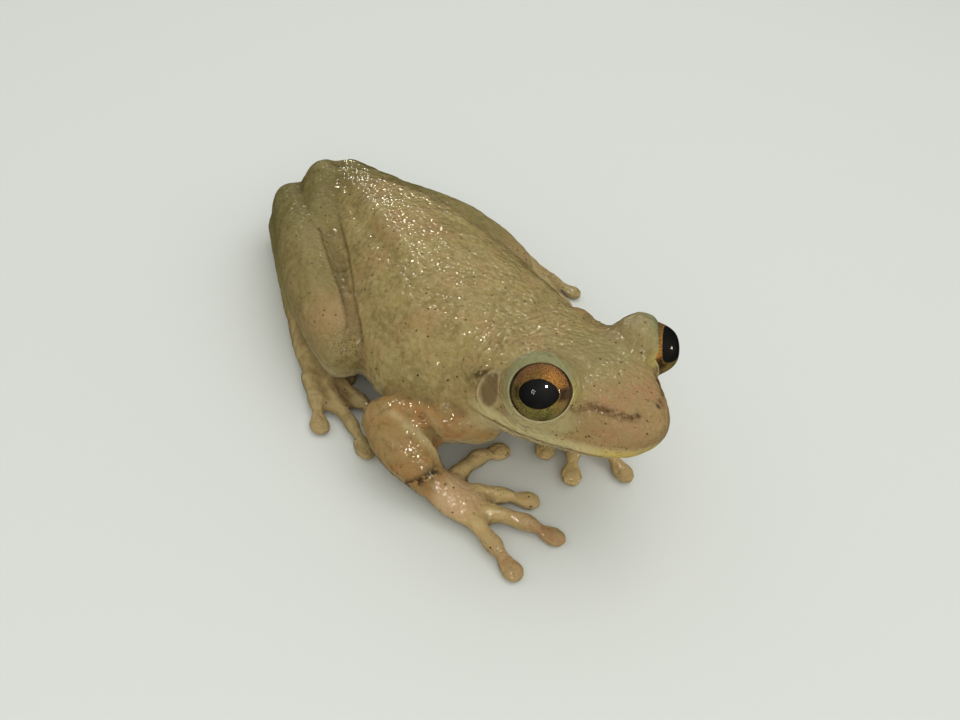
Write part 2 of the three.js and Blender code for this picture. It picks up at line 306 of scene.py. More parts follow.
def stretch_web(first, second, reach):
    """Adds a web between two digits, as an object of its own."""
    (knuckle_a, pad_a), (knuckle_b, pad_b) = digits[first], digits[second]
    bpy.ops.mesh.primitive_grid_add(x_subdivisions=8, y_subdivisions=8, size=2)
    plane = bpy.context.object
    points = points_of(plane) * MM
    sideways = (points[:, :1] + 1) / 2
    outward = (points[:, 1:2] + 1) / 2
    drawn_in = 1 - WEB_DRAWN_IN * np.sin(math.pi * sideways)
    along = reach * outward * drawn_in
    line_a = knuckle_a + (pad_a - knuckle_a) * along
    line_b = knuckle_b + (pad_b - knuckle_b) * along
    web = line_a + (line_b - line_a) * sideways
    web[:, 2] = np.maximum(web[:, 2] * 0.5, WEB_HEIGHT)
    move_points(plane, web)
    solidify = plane.modifiers.new("thick", "SOLIDIFY")
    solidify.thickness = WEB_THICK * MM
    solidify.offset = 0
    bpy.ops.object.modifier_apply(modifier=solidify.name)
    return plane


bpy.ops.object.mode_set(mode="OBJECT")
webs = []
for kind, count in (("toe", 5), ("finger", 4)):
    for side in SIDES:
        for number in range(1, count):
            first, second = f"{kind}_{side}_{number}", f"{kind}_{side}_{number + 1}"
            webs.append(stretch_web(first, second, WEB_REACH[kind]))
bpy.ops.object.select_all(action="DESELECT")
for piece in webs + [skin]:
    piece.select_set(True)
bpy.context.view_layer.objects.active = skin
bpy.ops.object.join()
print("stretched", len(webs), "webs")

# %% Fatten everything and wrap it in one surface
bpy.ops.object.mode_set(mode="EDIT")
bpy.ops.mesh.select_all(action="SELECT")
bpy.ops.transform.shrink_fatten(value=FATTEN * MM)
bpy.ops.object.mode_set(mode="OBJECT")
remesh = skin.modifiers.new("wrap", "REMESH")
remesh.mode = "VOXEL"
remesh.voxel_size = VOXEL * MM
remesh.use_smooth_shade = True
bpy.ops.object.modifier_apply(modifier=remesh.name)
print("wrapped:", len(skin.data.polygons), "faces")

# %% [markdown]
# ## Tools for sculpting in code
# Numpy holds all the skin's points at once, so a stroke is one line of arithmetic: how far is each
# point from the stroke's line, and how far does it move along its normal.


# %% Read normals and edges
def normals_of(piece):
    """The normal at each point of a mesh."""
    flat = np.empty(3 * len(piece.data.vertices), np.float32)
    piece.data.vertices.foreach_get("normal", flat)
    return flat.reshape(-1, 3).astype(float)


def edges_of(piece):
    """The two ends of each edge of a mesh."""
    flat = np.empty(2 * len(piece.data.edges), np.int32)
    piece.data.edges.foreach_get("vertices", flat)
    return flat.reshape(-1, 2)


def averaged(values, ends):
    """Each point's value replaced by the mean of its neighbours'."""
    total = np.zeros_like(values)
    count = np.zeros(len(values))
    for here, there in (ends.T, ends.T[::-1]):
        count += np.bincount(here, minlength=len(count))
        if values.ndim == 1:
            total += np.bincount(here, weights=values[there], minlength=len(count))
        else:
            for axis in range(values.shape[1]):
                total[:, axis] += np.bincount(here, values[there, axis], len(count))
    return total / count.reshape((-1,) + (1,) * (values.ndim - 1))


# %% [markdown]
# ## Smooth each part as much as it can bear
# Smoothing takes away the facets, but it also thins what is slender. So the trunk and head are
# smoothed most, the legs less, and the digits least. Each point's share is painted into a vertex
# group by the solid it lies nearest to, and the Smooth modifier follows the group.

# %% Paint the smoothing and apply it
from mathutils.bvhtree import BVHTree

SMOOTHING = {  # 1 is full smoothing; parts not named get LIMB_SMOOTHING
    "trunk": 1.0,
    "head": 0.8,
    "lower_jaw": 0.8,
    "thigh": 1.0,
    "shank": 1.0,
    "finger": 0.12,
    "toe": 0.12,
}
LIMB_SMOOTHING = 0.6
SMOOTH_ROUNDS = 60


def surfaces_of(names):
    """A search tree over the faces of some solids, and the solid that each face belongs to."""
    corners, faces, owner = [], [], []
    for number, name in enumerate(names):
        mesh = frame["nodes"][name].data
        first = len(corners)
        corners += [vertex.co / MM for vertex in mesh.vertices]
        faces += [[first + corner for corner in face.vertices] for face in mesh.polygons]
        owner += [number] * len(mesh.polygons)
    return BVHTree.FromPolygons(corners, faces), np.array(owner)


flesh_surfaces, flesh_owner = surfaces_of(flesh)


def nearest_solid(points):
    """For each point, the number of the solid whose surface lies nearest."""
    return flesh_owner[[flesh_surfaces.find_nearest(point)[2] for point in points]]


ends = edges_of(skin)
solid_at = nearest_solid(points_of(skin))
share_of_solid = [
    next((share for key, share in SMOOTHING.items() if name.startswith(key)), LIMB_SMOOTHING)
    for name in flesh
]
share = np.array(share_of_solid)[solid_at]
for _ in range(8):
    share = averaged(share, ends)
group = skin.vertex_groups.new(name="smoothing")
for step in range(1, 21):
    members = np.flatnonzero(np.ceil(share * 20).astype(int) == step)
    group.add(members.tolist(), step / 20, "REPLACE")
smooth = skin.modifiers.new("smooth", "SMOOTH")
smooth.factor = 0.5
smooth.iterations = SMOOTH_ROUNDS
smooth.vertex_group = group.name
bpy.ops.object.modifier_apply(modifier=smooth.name)
bpy.ops.object.mode_set(mode="EDIT")
bpy.ops.mesh.select_all(action="SELECT")
bpy.ops.transform.shrink_fatten(value=-FATTEN * MM)
bpy.ops.object.mode_set(mode="OBJECT")
print("smoothed; the skin's box:", points_of(skin).min(0).round(1), points_of(skin).max(0).round(1))

# %% [markdown]
# ## More squares where the detail is
# The face, hands and pads have finer shapes than one square of the remesh, so their faces are cut
# in four, and those round the lids once more.


# %% Subdivide where it counts
def subdivide_near(chosen):
    """Cuts the faces whose corners are all chosen points in four."""
    corners = np.empty(len(skin.data.loops), np.int32)
    skin.data.loops.foreach_get("vertex_index", corners)
    starts = np.empty(len(skin.data.polygons), np.int32)
    skin.data.polygons.foreach_get("loop_start", starts)
    inside = np.logical_and.reduceat(chosen[corners], starts)
    bpy.ops.object.mode_set(mode="EDIT")
    bpy.ops.mesh.select_mode(type="FACE")
    bpy.ops.mesh.select_all(action="DESELECT")
    bpy.ops.object.mode_set(mode="OBJECT")
    skin.data.polygons.foreach_set("select", inside)
    bpy.ops.object.mode_set(mode="EDIT")
    bpy.ops.mesh.subdivide(number_cuts=1, smoothness=0)
    bpy.ops.object.mode_set(mode="OBJECT")
    print("cut", int(inside.sum()), "faces in four; now", len(skin.data.polygons))


def near(points, place, reach):
    """Which points lie within reach of a place."""
    return np.linalg.norm(points - np.array(place), axis=1) < reach


def in_head_axes(points):
    """Points as ahead of, left of and above the point midway between the eyes."""
    return (points - np.array(HEAD_MIDDLE)) @ HEAD_AXES.T


FACE_REAR = -9.5  # the fine squares start here, behind the eyes
PAD_REACH = 2.6  # and go this far round each pad
points = points_of(skin)
local = in_head_axes(points)
fine = (local[:, 0] > FACE_REAR) & (local[:, 2] > -6)
for _, pad in digits.values():
    fine |= near(points, pad, PAD_REACH)
subdivide_near(fine)
points = points_of(skin)
lid_zone = np.zeros(len(points), bool)
for side, (middle, radius) in eyes.items():
    forward = (points - np.array(middle)) @ np.array(GAZE[side])
    lid_zone |= near(points, middle, radius + 0.9) & (forward > 0.3) & (forward < 2.2)
subdivide_near(lid_zone)

# %% [markdown]
# ## Sculpting
# A stroke follows a smooth line through a few corners, as a sculpting brush does. It raises the
# skin along its normals, or sinks it where its height is below zero. A crease sinks a narrow line and
# raises the skin on both sides of it, as real folds do.

# %% Strokes and creases
def ramp(value, start, end):
    """0 before start, 1 after end, and smooth between them."""
    t = np.clip((value - start) / (end - start), 0, 1)
    return t * t * (3 - 2 * t)


def settle():
    """Gives the mesh the sculpted points and reads its new normals."""
    global normals
    shape[:, 2] = np.maximum(shape[:, 2], 0)
    move_points(skin, shape)
    normals = normals_of(skin)


shape = points_of(skin)
normals = normals_of(skin)
ends = edges_of(skin)


def smooth_line(corners, steps=8):
    """A smooth line through a few corners, as many short steps."""
    corners = np.array(corners, float)
    if len(corners) == 2:
        return np.linspace(corners[0], corners[1], steps)
    padded = np.vstack([2 * corners[0] - corners[1], corners, 2 * corners[-1] - corners[-2]])
    t = np.linspace(0, 1, steps, endpoint=False)[:, None]
    spans = []
    for before, start, end, after in zip(padded, padded[1:], padded[2:], padded[3:]):
        slope_in, slope_out = (end - before) / 2, (after - start) / 2
        spans.append(
            (2 * t**3 - 3 * t**2 + 1) * start
            + (t**3 - 2 * t**2 + t) * slope_in
            + (3 * t**2 - 2 * t**3) * end
            + (t**3 - t**2) * slope_out
        )
    return np.vstack(spans + [corners[-1:]])


def snapped(line):
    """A line drawn over the skin: each of its points moves to the solids' surface below it."""
    return np.array([flesh_surfaces.find_nearest(point)[0] for point in line])


def distance_to_line(points, line, reach):
    """How far each point is from a line, up to reach, and its place along it from 0 to 1."""
    distance = np.full(len(points), np.inf)
    along = np.zeros(len(points))
    low, high = line.min(0) - reach, line.max(0) + reach
    chosen = np.flatnonzero(((points > low) & (points < high)).all(1))
    some = points[chosen]
    best, where = np.full(len(some), np.inf), np.zeros(len(some))
    for number, (start, end) in enumerate(zip(line, line[1:])):
        run = end - start
        t = np.clip((some - start) @ run / max(run @ run, 1e-9), 0, 1)
        gap = np.linalg.norm(some - start - t[:, None] * run, axis=1)
        closer = gap < best
        best[closer] = gap[closer]
        where[closer] = (number + t[closer]) / (len(line) - 1)
    distance[chosen], along[chosen] = best, where
    return distance, along


def faded(along):
    """Full in the middle of a stroke, and nothing at its ends."""
    return np.clip(np.sin(math.pi * np.clip(along, 0, 1)) * 2, 0, 1)


def stroke(corners, width, height):
    """Raises the skin by height along a line, and by less out to twice the width."""
    distance, along = distance_to_line(shape, snapped(smooth_line(corners)), 3 * width)
    lift = height * np.exp(-((distance / width) ** 2)) * faded(along)
    shape[:] += normals * np.nan_to_num(lift)[:, None]


def crease(corners, width, depth):
    """Sinks a narrow line and swells the skin beside it."""
    distance, along = distance_to_line(shape, snapped(smooth_line(corners)), 4 * width)
    distance = np.minimum(distance, 10 * width)
    groove = np.exp(-((distance / width) ** 2)) - 0.4 * np.exp(-(((distance - 2 * width) / width) ** 2))
    shape[:] -= normals * (depth * groove * faded(along))[:, None]


def dab(place, reach, height):
    """Raises or sinks a round spot."""
    distance = np.linalg.norm(shape - np.array(place), axis=1)
    shape[:] += normals * (height * np.exp(-((distance / reach) ** 2)))[:, None]


# %% [markdown]
# ### Folds between neighbouring parts
# A folded leg presses a deep crease between its pieces. Every point knows which solid it lies
# nearest to, so the creases can be found with no drawing at all: they run where two solids meet, and
# where the skin is hollow.

# %% Deepen the folds
FOLDS = {  # depth in millimetres
    ("thigh", "trunk"): 0.16,
    ("shank", "thigh"): 0.3,
    ("shank", "trunk"): 0.25,
    ("tarsus", "shank"): 0.3,
    ("tarsus", "thigh"): 0.3,
    ("foot", "shank"): 0.25,
    ("upper_arm", "trunk"): 0.2,
    ("forearm", "upper_arm"): 0.3,
}
FOLD_ROUNDS = 6


def blurred(values, rounds):
    """A mask made softer by averaging it over its neighbours."""
    for _ in range(rounds):
        values = averaged(values, ends)
    return values


def hollow_of(points, directions, rounds):
    """How far each point lies under the mean of its surroundings, in millimetres."""
    return ((blurred(points, rounds) - points) * directions).sum(1)


def part_mask(parts, rounds=10):
    """A mask of the points that lie on some parts."""
    chosen = np.array([name.startswith(parts) for name in flesh], float)
    return blurred(chosen[solid_at], rounds)


solid_at = nearest_solid(shape)
folded_parts = sorted({part for pair in FOLDS for part in pair})
belongs = {part: part_mask(part, FOLD_ROUNDS) for part in folded_parts}
hollow = ramp(hollow_of(shape, normals, 12), 0.0, 0.06)
for (first, second), depth in FOLDS.items():
    fold = np.clip(4 * belongs[first] * belongs[second], 0, 1)
    shape -= normals * (depth * fold * hollow)[:, None]
    for _ in range(3):
        shape += (averaged(shape, ends) - shape) * (0.6 * fold)[:, None]
settle()
print("deepened", len(FOLDS), "kinds of fold")

# %% [markdown]
# ### The back
# Two long low ridges run from the hips towards the shoulders, with a shallow valley outside each, and
# the hip bones stand out at the rump. The points are given as x, the distance out from the frog's
# middle plane, and z.

# %% Shape the back
NECK_TO_EYES = 9.2  # the head turns about a point this far behind the eyes
BODY_MIDDLE = HEAD_MIDDLE.y - NECK_TO_EYES * HEAD_FRONT.y


def on_body(x, out, z, side=LEFT):
    """A point of the body: along it, out to one side, and above the floor."""
    return (x, BODY_MIDDLE + side * out, z)


HIP_VALLEY = [(-19, 1.8, 10), (-13, 4.1, 10.5), (-8.5, 5.2, 11.5), (-5, 5.8, 12), (-2, 6.6, 12.3)]
HIP_RIDGE = [(-18, 0.8, 10), (-12.5, 2.3, 11), (-8, 3.4, 12), (-4.5, 4, 12.6)]
FLANK_FOLDS = [
    [(4, 10.6, 9.9), (6.2, 10.8, 9.4)],
    [(1.8, 11.1, 8.8), (4.3, 11.1, 9.2), (6.2, 10.9, 9.3)],
    [(3.3, 11.2, 8.5), (5.3, 11.1, 8.7)],
    [(6.9, 11.6, 7.7), (8.4, 11.1, 8.1)],
    [(8.9, 11, 8), (10.1, 10.1, 8.7), (11.1, 9.3, 9.3)],
    [(-1, 10.6, 9.4), (2, 10.8, 9.8), (4.5, 10.4, 10.2)],
]
KNEE_FOLDS = [
    [(-2.3, 10.9, 7.9), (-0.3, 12.3, 7.4), (0.3, 13, 7)],
    [(-5.3, 9.3, 8.4), (-3.4, 9.3, 9.4)],
]


for side in SIDES.values():
    stroke([on_body(*point, side) for point in HIP_VALLEY], 0.9, -0.28)
    stroke([on_body(*point, side) for point in HIP_RIDGE], 1.1, 0.22)
    dab(on_body(-23.4, 1.8, 9.2, side), 1.2, 0.22)
    dab(on_body(6, 5.5, 12.6, side), 2.2, 0.25)
    for fold in FLANK_FOLDS:
        crease([on_body(*point, side) for point in fold], 0.24, 0.09)
    for fold in KNEE_FOLDS:
        crease([on_body(*point, side) for point in fold], 0.24, 0.12)
dab(on_body(-23.2, 0.1, 9.4), 0.8, -0.25)
settle()
print("the body's middle plane is at y =", round(BODY_MIDDLE, 2), "mm")

# %% [markdown]
# ### Neck and shoulder wrinkles
# The head is turned and drawn in, so loose skin gathers behind it in fine wrinkles that fan out over
# the shoulder. They are given ahead of, out from and above the point between the eyes.

# %% Fold the neck
NECK_FOLDS = [
    [(-7.7, -1.6, -0.2), (-7.8, 0.6, -0.2), (-7.9, 2.8, -0.4)],
    [(-6.5, -1.8, 0), (-7.2, 1.1, -0.1), (-6.8, 2.4, -0.1)],
    [(-5.6, -0.8, 0.3), (-5.9, 2, 0.1), (-6, 3.5, 0), (-5.6, 6.1, -0.6)],
    [(-7, 6.6, -1.2), (-6.7, 7.4, -1.9), (-6.8, 8, -2.9)],
    [(-12.2, 0, -0.5), (-12.7, 1.7, -0.5), (-13.3, 2.5, -0.6)],
    [(-12.1, 1.2, -0.5), (-12.2, 2.6, -0.7), (-11.7, 4, -1), (-11.4, 4.6, -1.1)],
    [(-10.7, 3.3, -0.9), (-10.3, 4.7, -1.2), (-10.2, 5.6, -1.5)],
    [(-9.6, 3.6, -0.7), (-9.1, 5.2, -1), (-9, 6.4, -1.6)],
    [(-8.3, 7.4, -2.4), (-7.6, 8.1, -3.2)],
    [(-5, 4.6, -0.2), (-5, 6, -0.6), (-5.2, 7.2, -1.4)],
    [(-8.8, 0.2, -0.3), (-8.9, 2.2, -0.4), (-8.6, 3.6, -0.6)],
    [(-6.3, 3.8, -0.2), (-6.2, 5.4, -0.6), (-6, 6.8, -1.2)],
    [(-9.4, 6.6, -1.8), (-8.9, 7.6, -2.6), (-8.6, 8.4, -3.8)],
    [(-7.2, 3.4, -0.4), (-7, 4.6, -0.6), (-6.4, 5.8, -0.9)],
    [(-10.2, 1, -0.4), (-10.2, 2.6, -0.6), (-9.8, 4.4, -0.9)],
    [(-11.2, 5.4, -1.4), (-10.6, 6.6, -2), (-10.2, 7.6, -2.9)],
    [(-13.4, 3.2, -0.8), (-13, 4.8, -1.2), (-12.4, 6, -1.8)],
]
SHOULDER_FOLD = [(-8.5, 2.9, -0.5), (-7.6, 5.4, -0.8), (-7.1, 6.6, -1.3), (-7.3, 8.1, -3.2)]

for side in SIDES.values():
    for fold in NECK_FOLDS:
        crease([on_head(*point, side) for point in fold], 0.14, 0.14)
    crease([on_head(*point, side) for point in SHOULDER_FOLD], 0.2, 0.15)
settle()
print("folded the neck:", 2 * len(NECK_FOLDS) + 2, "wrinkles")

# %% [markdown]
# ### Mouth, nostrils and eardrums
# The mouth is a thin line along the solids' own cut between head and jaw, so a plane through the head
# gives its height. The upper lip swells over it. The eardrum is a shallow dish behind the eye with a
# raised rim, and a fold of skin bends over it from the eye to the shoulder.

# %% Cut the mouth and shape the face
MOUTH = {"height": -3.15, "rise": 0.18, "at": 8.8, "hinge": -4.6}
NOSTRIL = (6.4, 1.28, 0.35)
EARDRUM = {"middle": (-3.8, 8.2, -2.7), "long": 1.55, "wide": 1.1}
EAR_FOLD = [(-2.9, 6.9, -0.3), (-4.2, 7.9, -0.9), (-5.8, 8.2, -1.8), (-6.6, 8.3, -3.4)]
SNOUT_RIDGE = [(2.6, 5.2, 0.2), (4.2, 3.7, 0.5), (6, 2, 0.5)]
CHEEK_HOLLOW = [(3, 6, -1.2), (5, 4.4, -1.2), (6.6, 2.6, -1.2)]


def above_mouth(local):
    """How far over the mouth's line each point lies, and how much mouth there is so far ahead."""
    line = MOUTH["height"] + MOUTH["rise"] * (local[:, 0] - MOUTH["at"])
    return local[:, 2] - line, ramp(local[:, 0], MOUTH["hinge"], MOUTH["hinge"] + 2.5)


def round_drum(points, side, deep):
    """Distance from an eardrum's middle, with its edge at 1; what lies deeper than deep is far off."""
    offset = (points - np.array(on_head(*EARDRUM["middle"], side))) @ HEAD_AXES.T
    ring = np.hypot(offset[:, 0] / EARDRUM["wide"], offset[:, 2] / EARDRUM["long"])
    return np.where(np.abs(offset[:, 1]) < deep, ring, 9)


local = in_head_axes(shape)
over, mouth = above_mouth(local)
faces_out = ramp(-normals @ np.array(HEAD_UP), -0.9, -0.4) * mouth
lips = 0.13 * np.exp(-(((over - 0.5) / 0.35) ** 2)) - 0.1 * np.exp(-(((over + 0.75) / 0.45) ** 2))
line = -0.32 * np.exp(-((over / 0.13) ** 2))
shape += normals * ((lips + line) * faces_out)[:, None]
settle()

for side in SIDES.values():
    stroke([on_head(*point, side) for point in SNOUT_RIDGE], 0.7, 0.16)
    stroke([on_head(*point, side) for point in CHEEK_HOLLOW], 0.8, -0.14)
    stroke([on_head(*point, side) for point in EAR_FOLD], 0.42, 0.26)
    nostril = on_head(*NOSTRIL, side)
    dab(nostril, 0.75, 0.22)
    dab(nostril, 0.24, -0.55)
    ring = round_drum(shape, side, 2)
    dish = 0.16 * np.exp(-(((ring - 1.12) / 0.16) ** 2)) - 0.18 * (1 - ramp(ring, 0.8, 1.05))
    shape += normals * dish[:, None]
settle()
print("the mouth is", round(2 * (MOUTH["at"] - MOUTH["hinge"]), 1), "mm round")

# %% [markdown]
# ### Lids
# The skin covers each eye as a dome. Round the eye's axis, what lies inside the lids' opening is
# sunk under the eyeball, and the margin is drawn up to it as a soft rounded lip. The upper lid is
# thick and stands out, and the lower one is thin. The opening is a little longer than high, with a
# small corner in front.

# %% Open the lids
LID_OPENING = {"right": math.radians(65), "left": math.radians(61.5)}  # from gaze to margin
LONGER = {"right": math.radians(4), "left": 0}  # how much longer than high the opening is
SUNK = 0.55  # how far the skin inside the opening lies under the eyeball's surface
LIP = {"thin": 0.08, "thick": 0.34}  # how far the margin stands over the eyeball: below, and above
UPPER_LID = math.radians(115)  # the upper lid is thickest this far round from straight ahead
CORNER_TURN = math.radians(16)  # the front corner lies this far over the line straight ahead


def eye_axes(side, towards=GAZE):
    """The directions along the gaze, and ahead and up across it."""
    gaze = np.array(towards[side])
    up = np.array(HEAD_UP) - gaze * (np.array(HEAD_UP) @ gaze)
    up /= np.linalg.norm(up)
    ahead = np.array(HEAD_FRONT) - gaze * (np.array(HEAD_FRONT) @ gaze)
    ahead -= up * (ahead @ up)
    return gaze, ahead / np.linalg.norm(ahead), up


def round_eye(points, side):
    """Distance from the eye's middle, angle from the gaze, and turn round it from ahead to up."""
    gaze, ahead, up = eye_axes(side)
    offset = points - np.array(eyes[side][0])
    distance = np.maximum(np.linalg.norm(offset, axis=1), 1e-6)
    angle = np.arccos(np.clip(offset @ gaze / distance, -1, 1))
    return distance, angle, np.arctan2(offset @ up, offset @ ahead)


def past_margin(points, side):
    """How far outside the lids' margin each point lies, in millimetres, and round_eye's answers."""
    distance, angle, turn = round_eye(points, side)
    from_corner = np.abs(np.angle(np.exp(1j * (turn - CORNER_TURN))))
    opening = LID_OPENING[side] + LONGER[side] * np.cos(2 * from_corner)
    opening = opening + math.radians(7) * np.exp(-((from_corner / math.radians(12)) ** 2))
    return (angle - opening) * EYE_RADIUS, distance, angle, turn


for side, (_, radius) in eyes.items():
    past, distance, _, turn = past_margin(shape, side)
    below = 1 - ramp(np.sin(turn + 0.3), 0.0, 0.8)
    relaxed = ramp(past, -0.2, 0.4) * (1 - ramp(past, 2.4, 3.6)) * below * (distance < radius + 3)
    for _ in range(60):
        shape += (averaged(shape, ends) - shape) * (relaxed * 0.9)[:, None]
settle()
for side, (middle, radius) in eyes.items():
    past, distance, angle, turn = past_margin(shape, side)
    fullness = (0.5 + 0.5 * np.cos(turn - UPPER_LID)) ** 2 * ramp(past, 0, 0.6) * (1 - ramp(past, 0.7, 1.9))
    margin = radius + LIP["thin"] * ramp(past, -0.1, 0.2) + (LIP["thick"] - LIP["thin"]) * fullness
    wanted = np.where(past < 0, radius - SUNK * ramp(-past, -0.04, 0.2), margin)
    hold = 1 - ramp(past, 0.2, 1.5)
    hold = np.where((distance < radius + 1.6) & (angle < math.radians(125)), hold, 0)
    offset = shape - np.array(middle)
    target = np.array(middle) + offset * (wanted / distance)[:, None]
    shape += (target - shape) * hold[:, None]
settle()
print("opened the lids over eyeballs of radius", round(EYE_RADIUS, 2))

# %% [markdown]
# ### Arms, hands and feet
# Each digit ends in a round disc: flat on top, with a groove round it that parts its rim from its
# middle. Behind the disc the digit is slender, and it swells again at its joint. On the folded right
# arm, a sharp ridge runs down from the elbow, and skin gathers over the wrist and the foot.

# %% Shape the discs and joints
DIGIT_SHAPE = [  # distance from the pad's middle, width of the change, share drawn in
    (1.9, 0.5, 0.24),
    (3.2, 0.55, -0.14),
    (4.6, 0.6, 0.1),
]


def draw_in(members, pad, distance, width, share):
    """Makes a digit more slender, or thicker, at a distance from its pad."""
    from_pad = np.linalg.norm(shape[members] - pad, axis=1)
    axis_point = shape[members[np.abs(from_pad - distance) < 0.4]].mean(0)
    along = (axis_point - pad) / np.linalg.norm(axis_point - pad)
    offset = shape[members] - axis_point
    offset -= (offset @ along)[:, None] * along
    amount = share * np.exp(-(((from_pad - distance) / width) ** 2))
    shape[members] -= offset * amount[:, None]


for name, (knuckle, pad) in digits.items():
    offset = shape - pad
    across = np.hypot(offset[:, 0], offset[:, 1])
    on_disc = (across < 1.8) & (offset[:, 2] < 2)
    spread = 0.1 * (1 - ramp(across, 1.15, 1.5)) * on_disc
    shape[:, :2] += offset[:, :2] * spread[:, None]
    top = np.clip(offset[:, 2] - 0.55, 0, None)
    lower = 0.35 * top * (1 - ramp(across, 0.9, 1.5))
    shape[:, 2] -= np.where(on_disc, lower, 0)
    groove = np.exp(-(((across - 0.72) / 0.16) ** 2)) * ramp(normals[:, 2], 0.3, 0.8)
    shape -= normals * np.where(on_disc, 0.07 * groove, 0)[:, None]
    members = np.flatnonzero(solid_at == flesh.index(name))
    length = np.linalg.norm(knuckle - pad)
    for distance, width, share in DIGIT_SHAPE:
        if distance < length - 1:
            draw_in(members, pad, distance, width, share)
settle()
print("shaped", len(digits), "discs")

# %% Gather skin on the limbs
ARM_RIDGE = [(9.2, -15.1, 6.5), (10.6, -14.8, 6.4), (11.9, -14.1, 6), (13, -13.5, 5), (14, -13, 3.8)]
ARM_CREASE = [(9.8, -13.6, 7), (11.3, -13.1, 6.6), (12.6, -12.8, 5.6), (13.6, -12.4, 4.2)]
WRIST_FOLD = [(14, -16.1, 2.5), (14.8, -15.5, 3.5), (14.9, -14.6, 3.9), (14.8, -13.9, 4)]
ARM_WRINKLES = [
    [(12.9, -15.9, 4.9), (13.6, -15.1, 5), (14.1, -14.2, 4.8)],
    WRIST_FOLD,
    [(15.9, -15.3, 2.8), (16.2, -14.2, 3.3), (16.1, -13.3, 3.3)],
    [(17.2, -14.8, 2.5), (17.6, -13.6, 2.9), (17.3, -12.6, 2.9)],
    [(10.4, -12, 7.6), (11.6, -11.8, 7.4), (12.6, -11, 7.5)],
    [(11.6, -11, 8.2), (12.8, -10.6, 7.9), (13.6, -10.2, 7.2)],
]
LEG_CREASES = [
    [
        (-15.1, -8.6, 8.4), (-10.5, -10.1, 8.3), (-6.5, -11.3, 8),
        (-2.2, -13, 7.8), (-1, -14, 7.6), (0.1, -14.9, 6.9),
    ],
    [(-15.2, -6.2, 8.9), (-8.5, -9.1, 8.8), (-2.6, -11.8, 8.3), (0, -12.9, 7.8), (1.4, -13.4, 6.7)],
    [(-8.6, -10.4, 7.9), (-8.6, -9.8, 7.8), (-8.1, -9.6, 8.2)],
    [(-6.1, -11.3, 7.9), (-5.5, -11, 8), (-4.5, -11, 8.5)],
]
FOOT_CREASE = [(-2.2, -15.8, 2), (-0.5, -16.2, 1.7), (1, -16.4, 1.4), (2.2, -17.2, 0.8)]

stroke(ARM_RIDGE, 0.4, 0.2)
crease(ARM_CREASE, 0.35, 0.2)
for wrinkle in ARM_WRINKLES:
    crease(wrinkle, 0.2, 0.07)
for wrinkle in LEG_CREASES:
    crease(wrinkle, 0.18, 0.13)
crease(FOOT_CREASE, 0.24, 0.12)
settle()
print("gathered", len(ARM_WRINKLES) + len(LEG_CREASES) + 2, "wrinkles on the limbs")

# %% [markdown]
# ### Uneven skin
# Real skin is never quite even. A slow noise lifts and sinks it by some hundredths of a millimetre,
# and on the flanks, belly and thighs coarse granules stand out, as tree frogs have them.

# %% Add lumps and granules
from mathutils import noise

LUMP_SIZE = 1.9
LUMP_HEIGHT = 0.07
GRANULE_SIZE = 0.85
GRANULE_HEIGHT = 0.12
WRINKLE_SIZE = 2.3
WRINKLE_DEPTH = 0.12
GRAIN_SIZE = 0.5
GRAIN_HEIGHT = 0.03
LOOSE_PARTS = ("trunk", "thigh", "upper_arm", "forearm", "palm", "shank")

lumps = np.array([noise.fractal(place, 1, 2, 3) for place in shape / LUMP_SIZE])
grain = np.array([noise.noise(place) for place in shape / GRAIN_SIZE])
granules = np.array([noise.voronoi(place)[0][0] for place in shape / GRANULE_SIZE])
granules = 1 - ramp(granules, 0.0, 0.55)
coarse = part_mask(("trunk", "thigh"), 6) * (1 - ramp(normals[:, 2], -0.1, 0.55))
coarse *= ramp(shape[:, 2], 0.05, 0.6)
smooth_eye = np.ones(len(shape))
for side in SIDES:
    past, distance, _, _ = past_margin(shape, side)
    smooth_eye *= np.where(distance < EYE_RADIUS + 1.5, ramp(past, 0.3, 1.4), 1)
wrinkles = np.array([noise.ridged_multi_fractal(place, 1, 2, 3, 1, 2) for place in shape / WRINKLE_SIZE])
wrinkles = 0.5 - ramp(wrinkles, 0.9, 2.2)
loose = part_mask(LOOSE_PARTS, 12)
lift = (LUMP_HEIGHT * lumps + GRAIN_HEIGHT * grain) * smooth_eye + GRANULE_HEIGHT * granules * coarse
lift += WRINKLE_DEPTH * wrinkles * loose * smooth_eye
shape += normals * (lift * ramp(shape[:, 2], 0.02, 0.5))[:, None]
settle()
print("granules stand out by up to", GRANULE_HEIGHT, "mm")

# %% Keep the mesh light
MOST_TRIANGLES = 194000
triangles = sum(len(face.vertices) - 2 for face in skin.data.polygons)
bpy.context.view_layer.objects.active = skin
decimate = skin.modifiers.new("lighter", "DECIMATE")
decimate.ratio = min(1, MOST_TRIANGLES / triangles)
bpy.ops.object.modifier_apply(modifier=decimate.name)
print("from", triangles, "to", len(skin.data.polygons), "triangles")

# %% [markdown]
# ## Paint
# The markings, and some painted shade and highlights, follow the body, so they are painted on it as
# masks: one number at each point of the skin, stored as an attribute that the material reads. Each
# mask is a place on the head or a part of the body, with soft edges.

# %% Measure the skin and draw with masks
STRIPE = [(2.8, 5.4, 0), (3.5, 4.4, 0.35), (4.5, 3.6, 0.4), (5.6, 2.7, 0.4), (6.3, 1.9, 0.4)]
SPECKLED_LIP = [(0.8, 7.3, -3.4), (2.2, 6.7, -3), (4.3, 5.3, -2.2), (5.9, 4.3, -1.9), (7.8, 1.8, -1.3)]
EAR_SHADE = [(-3.3, 7.4, -1), (-4.6, 8, -1.4), (-5.8, 8.2, -2.2)]

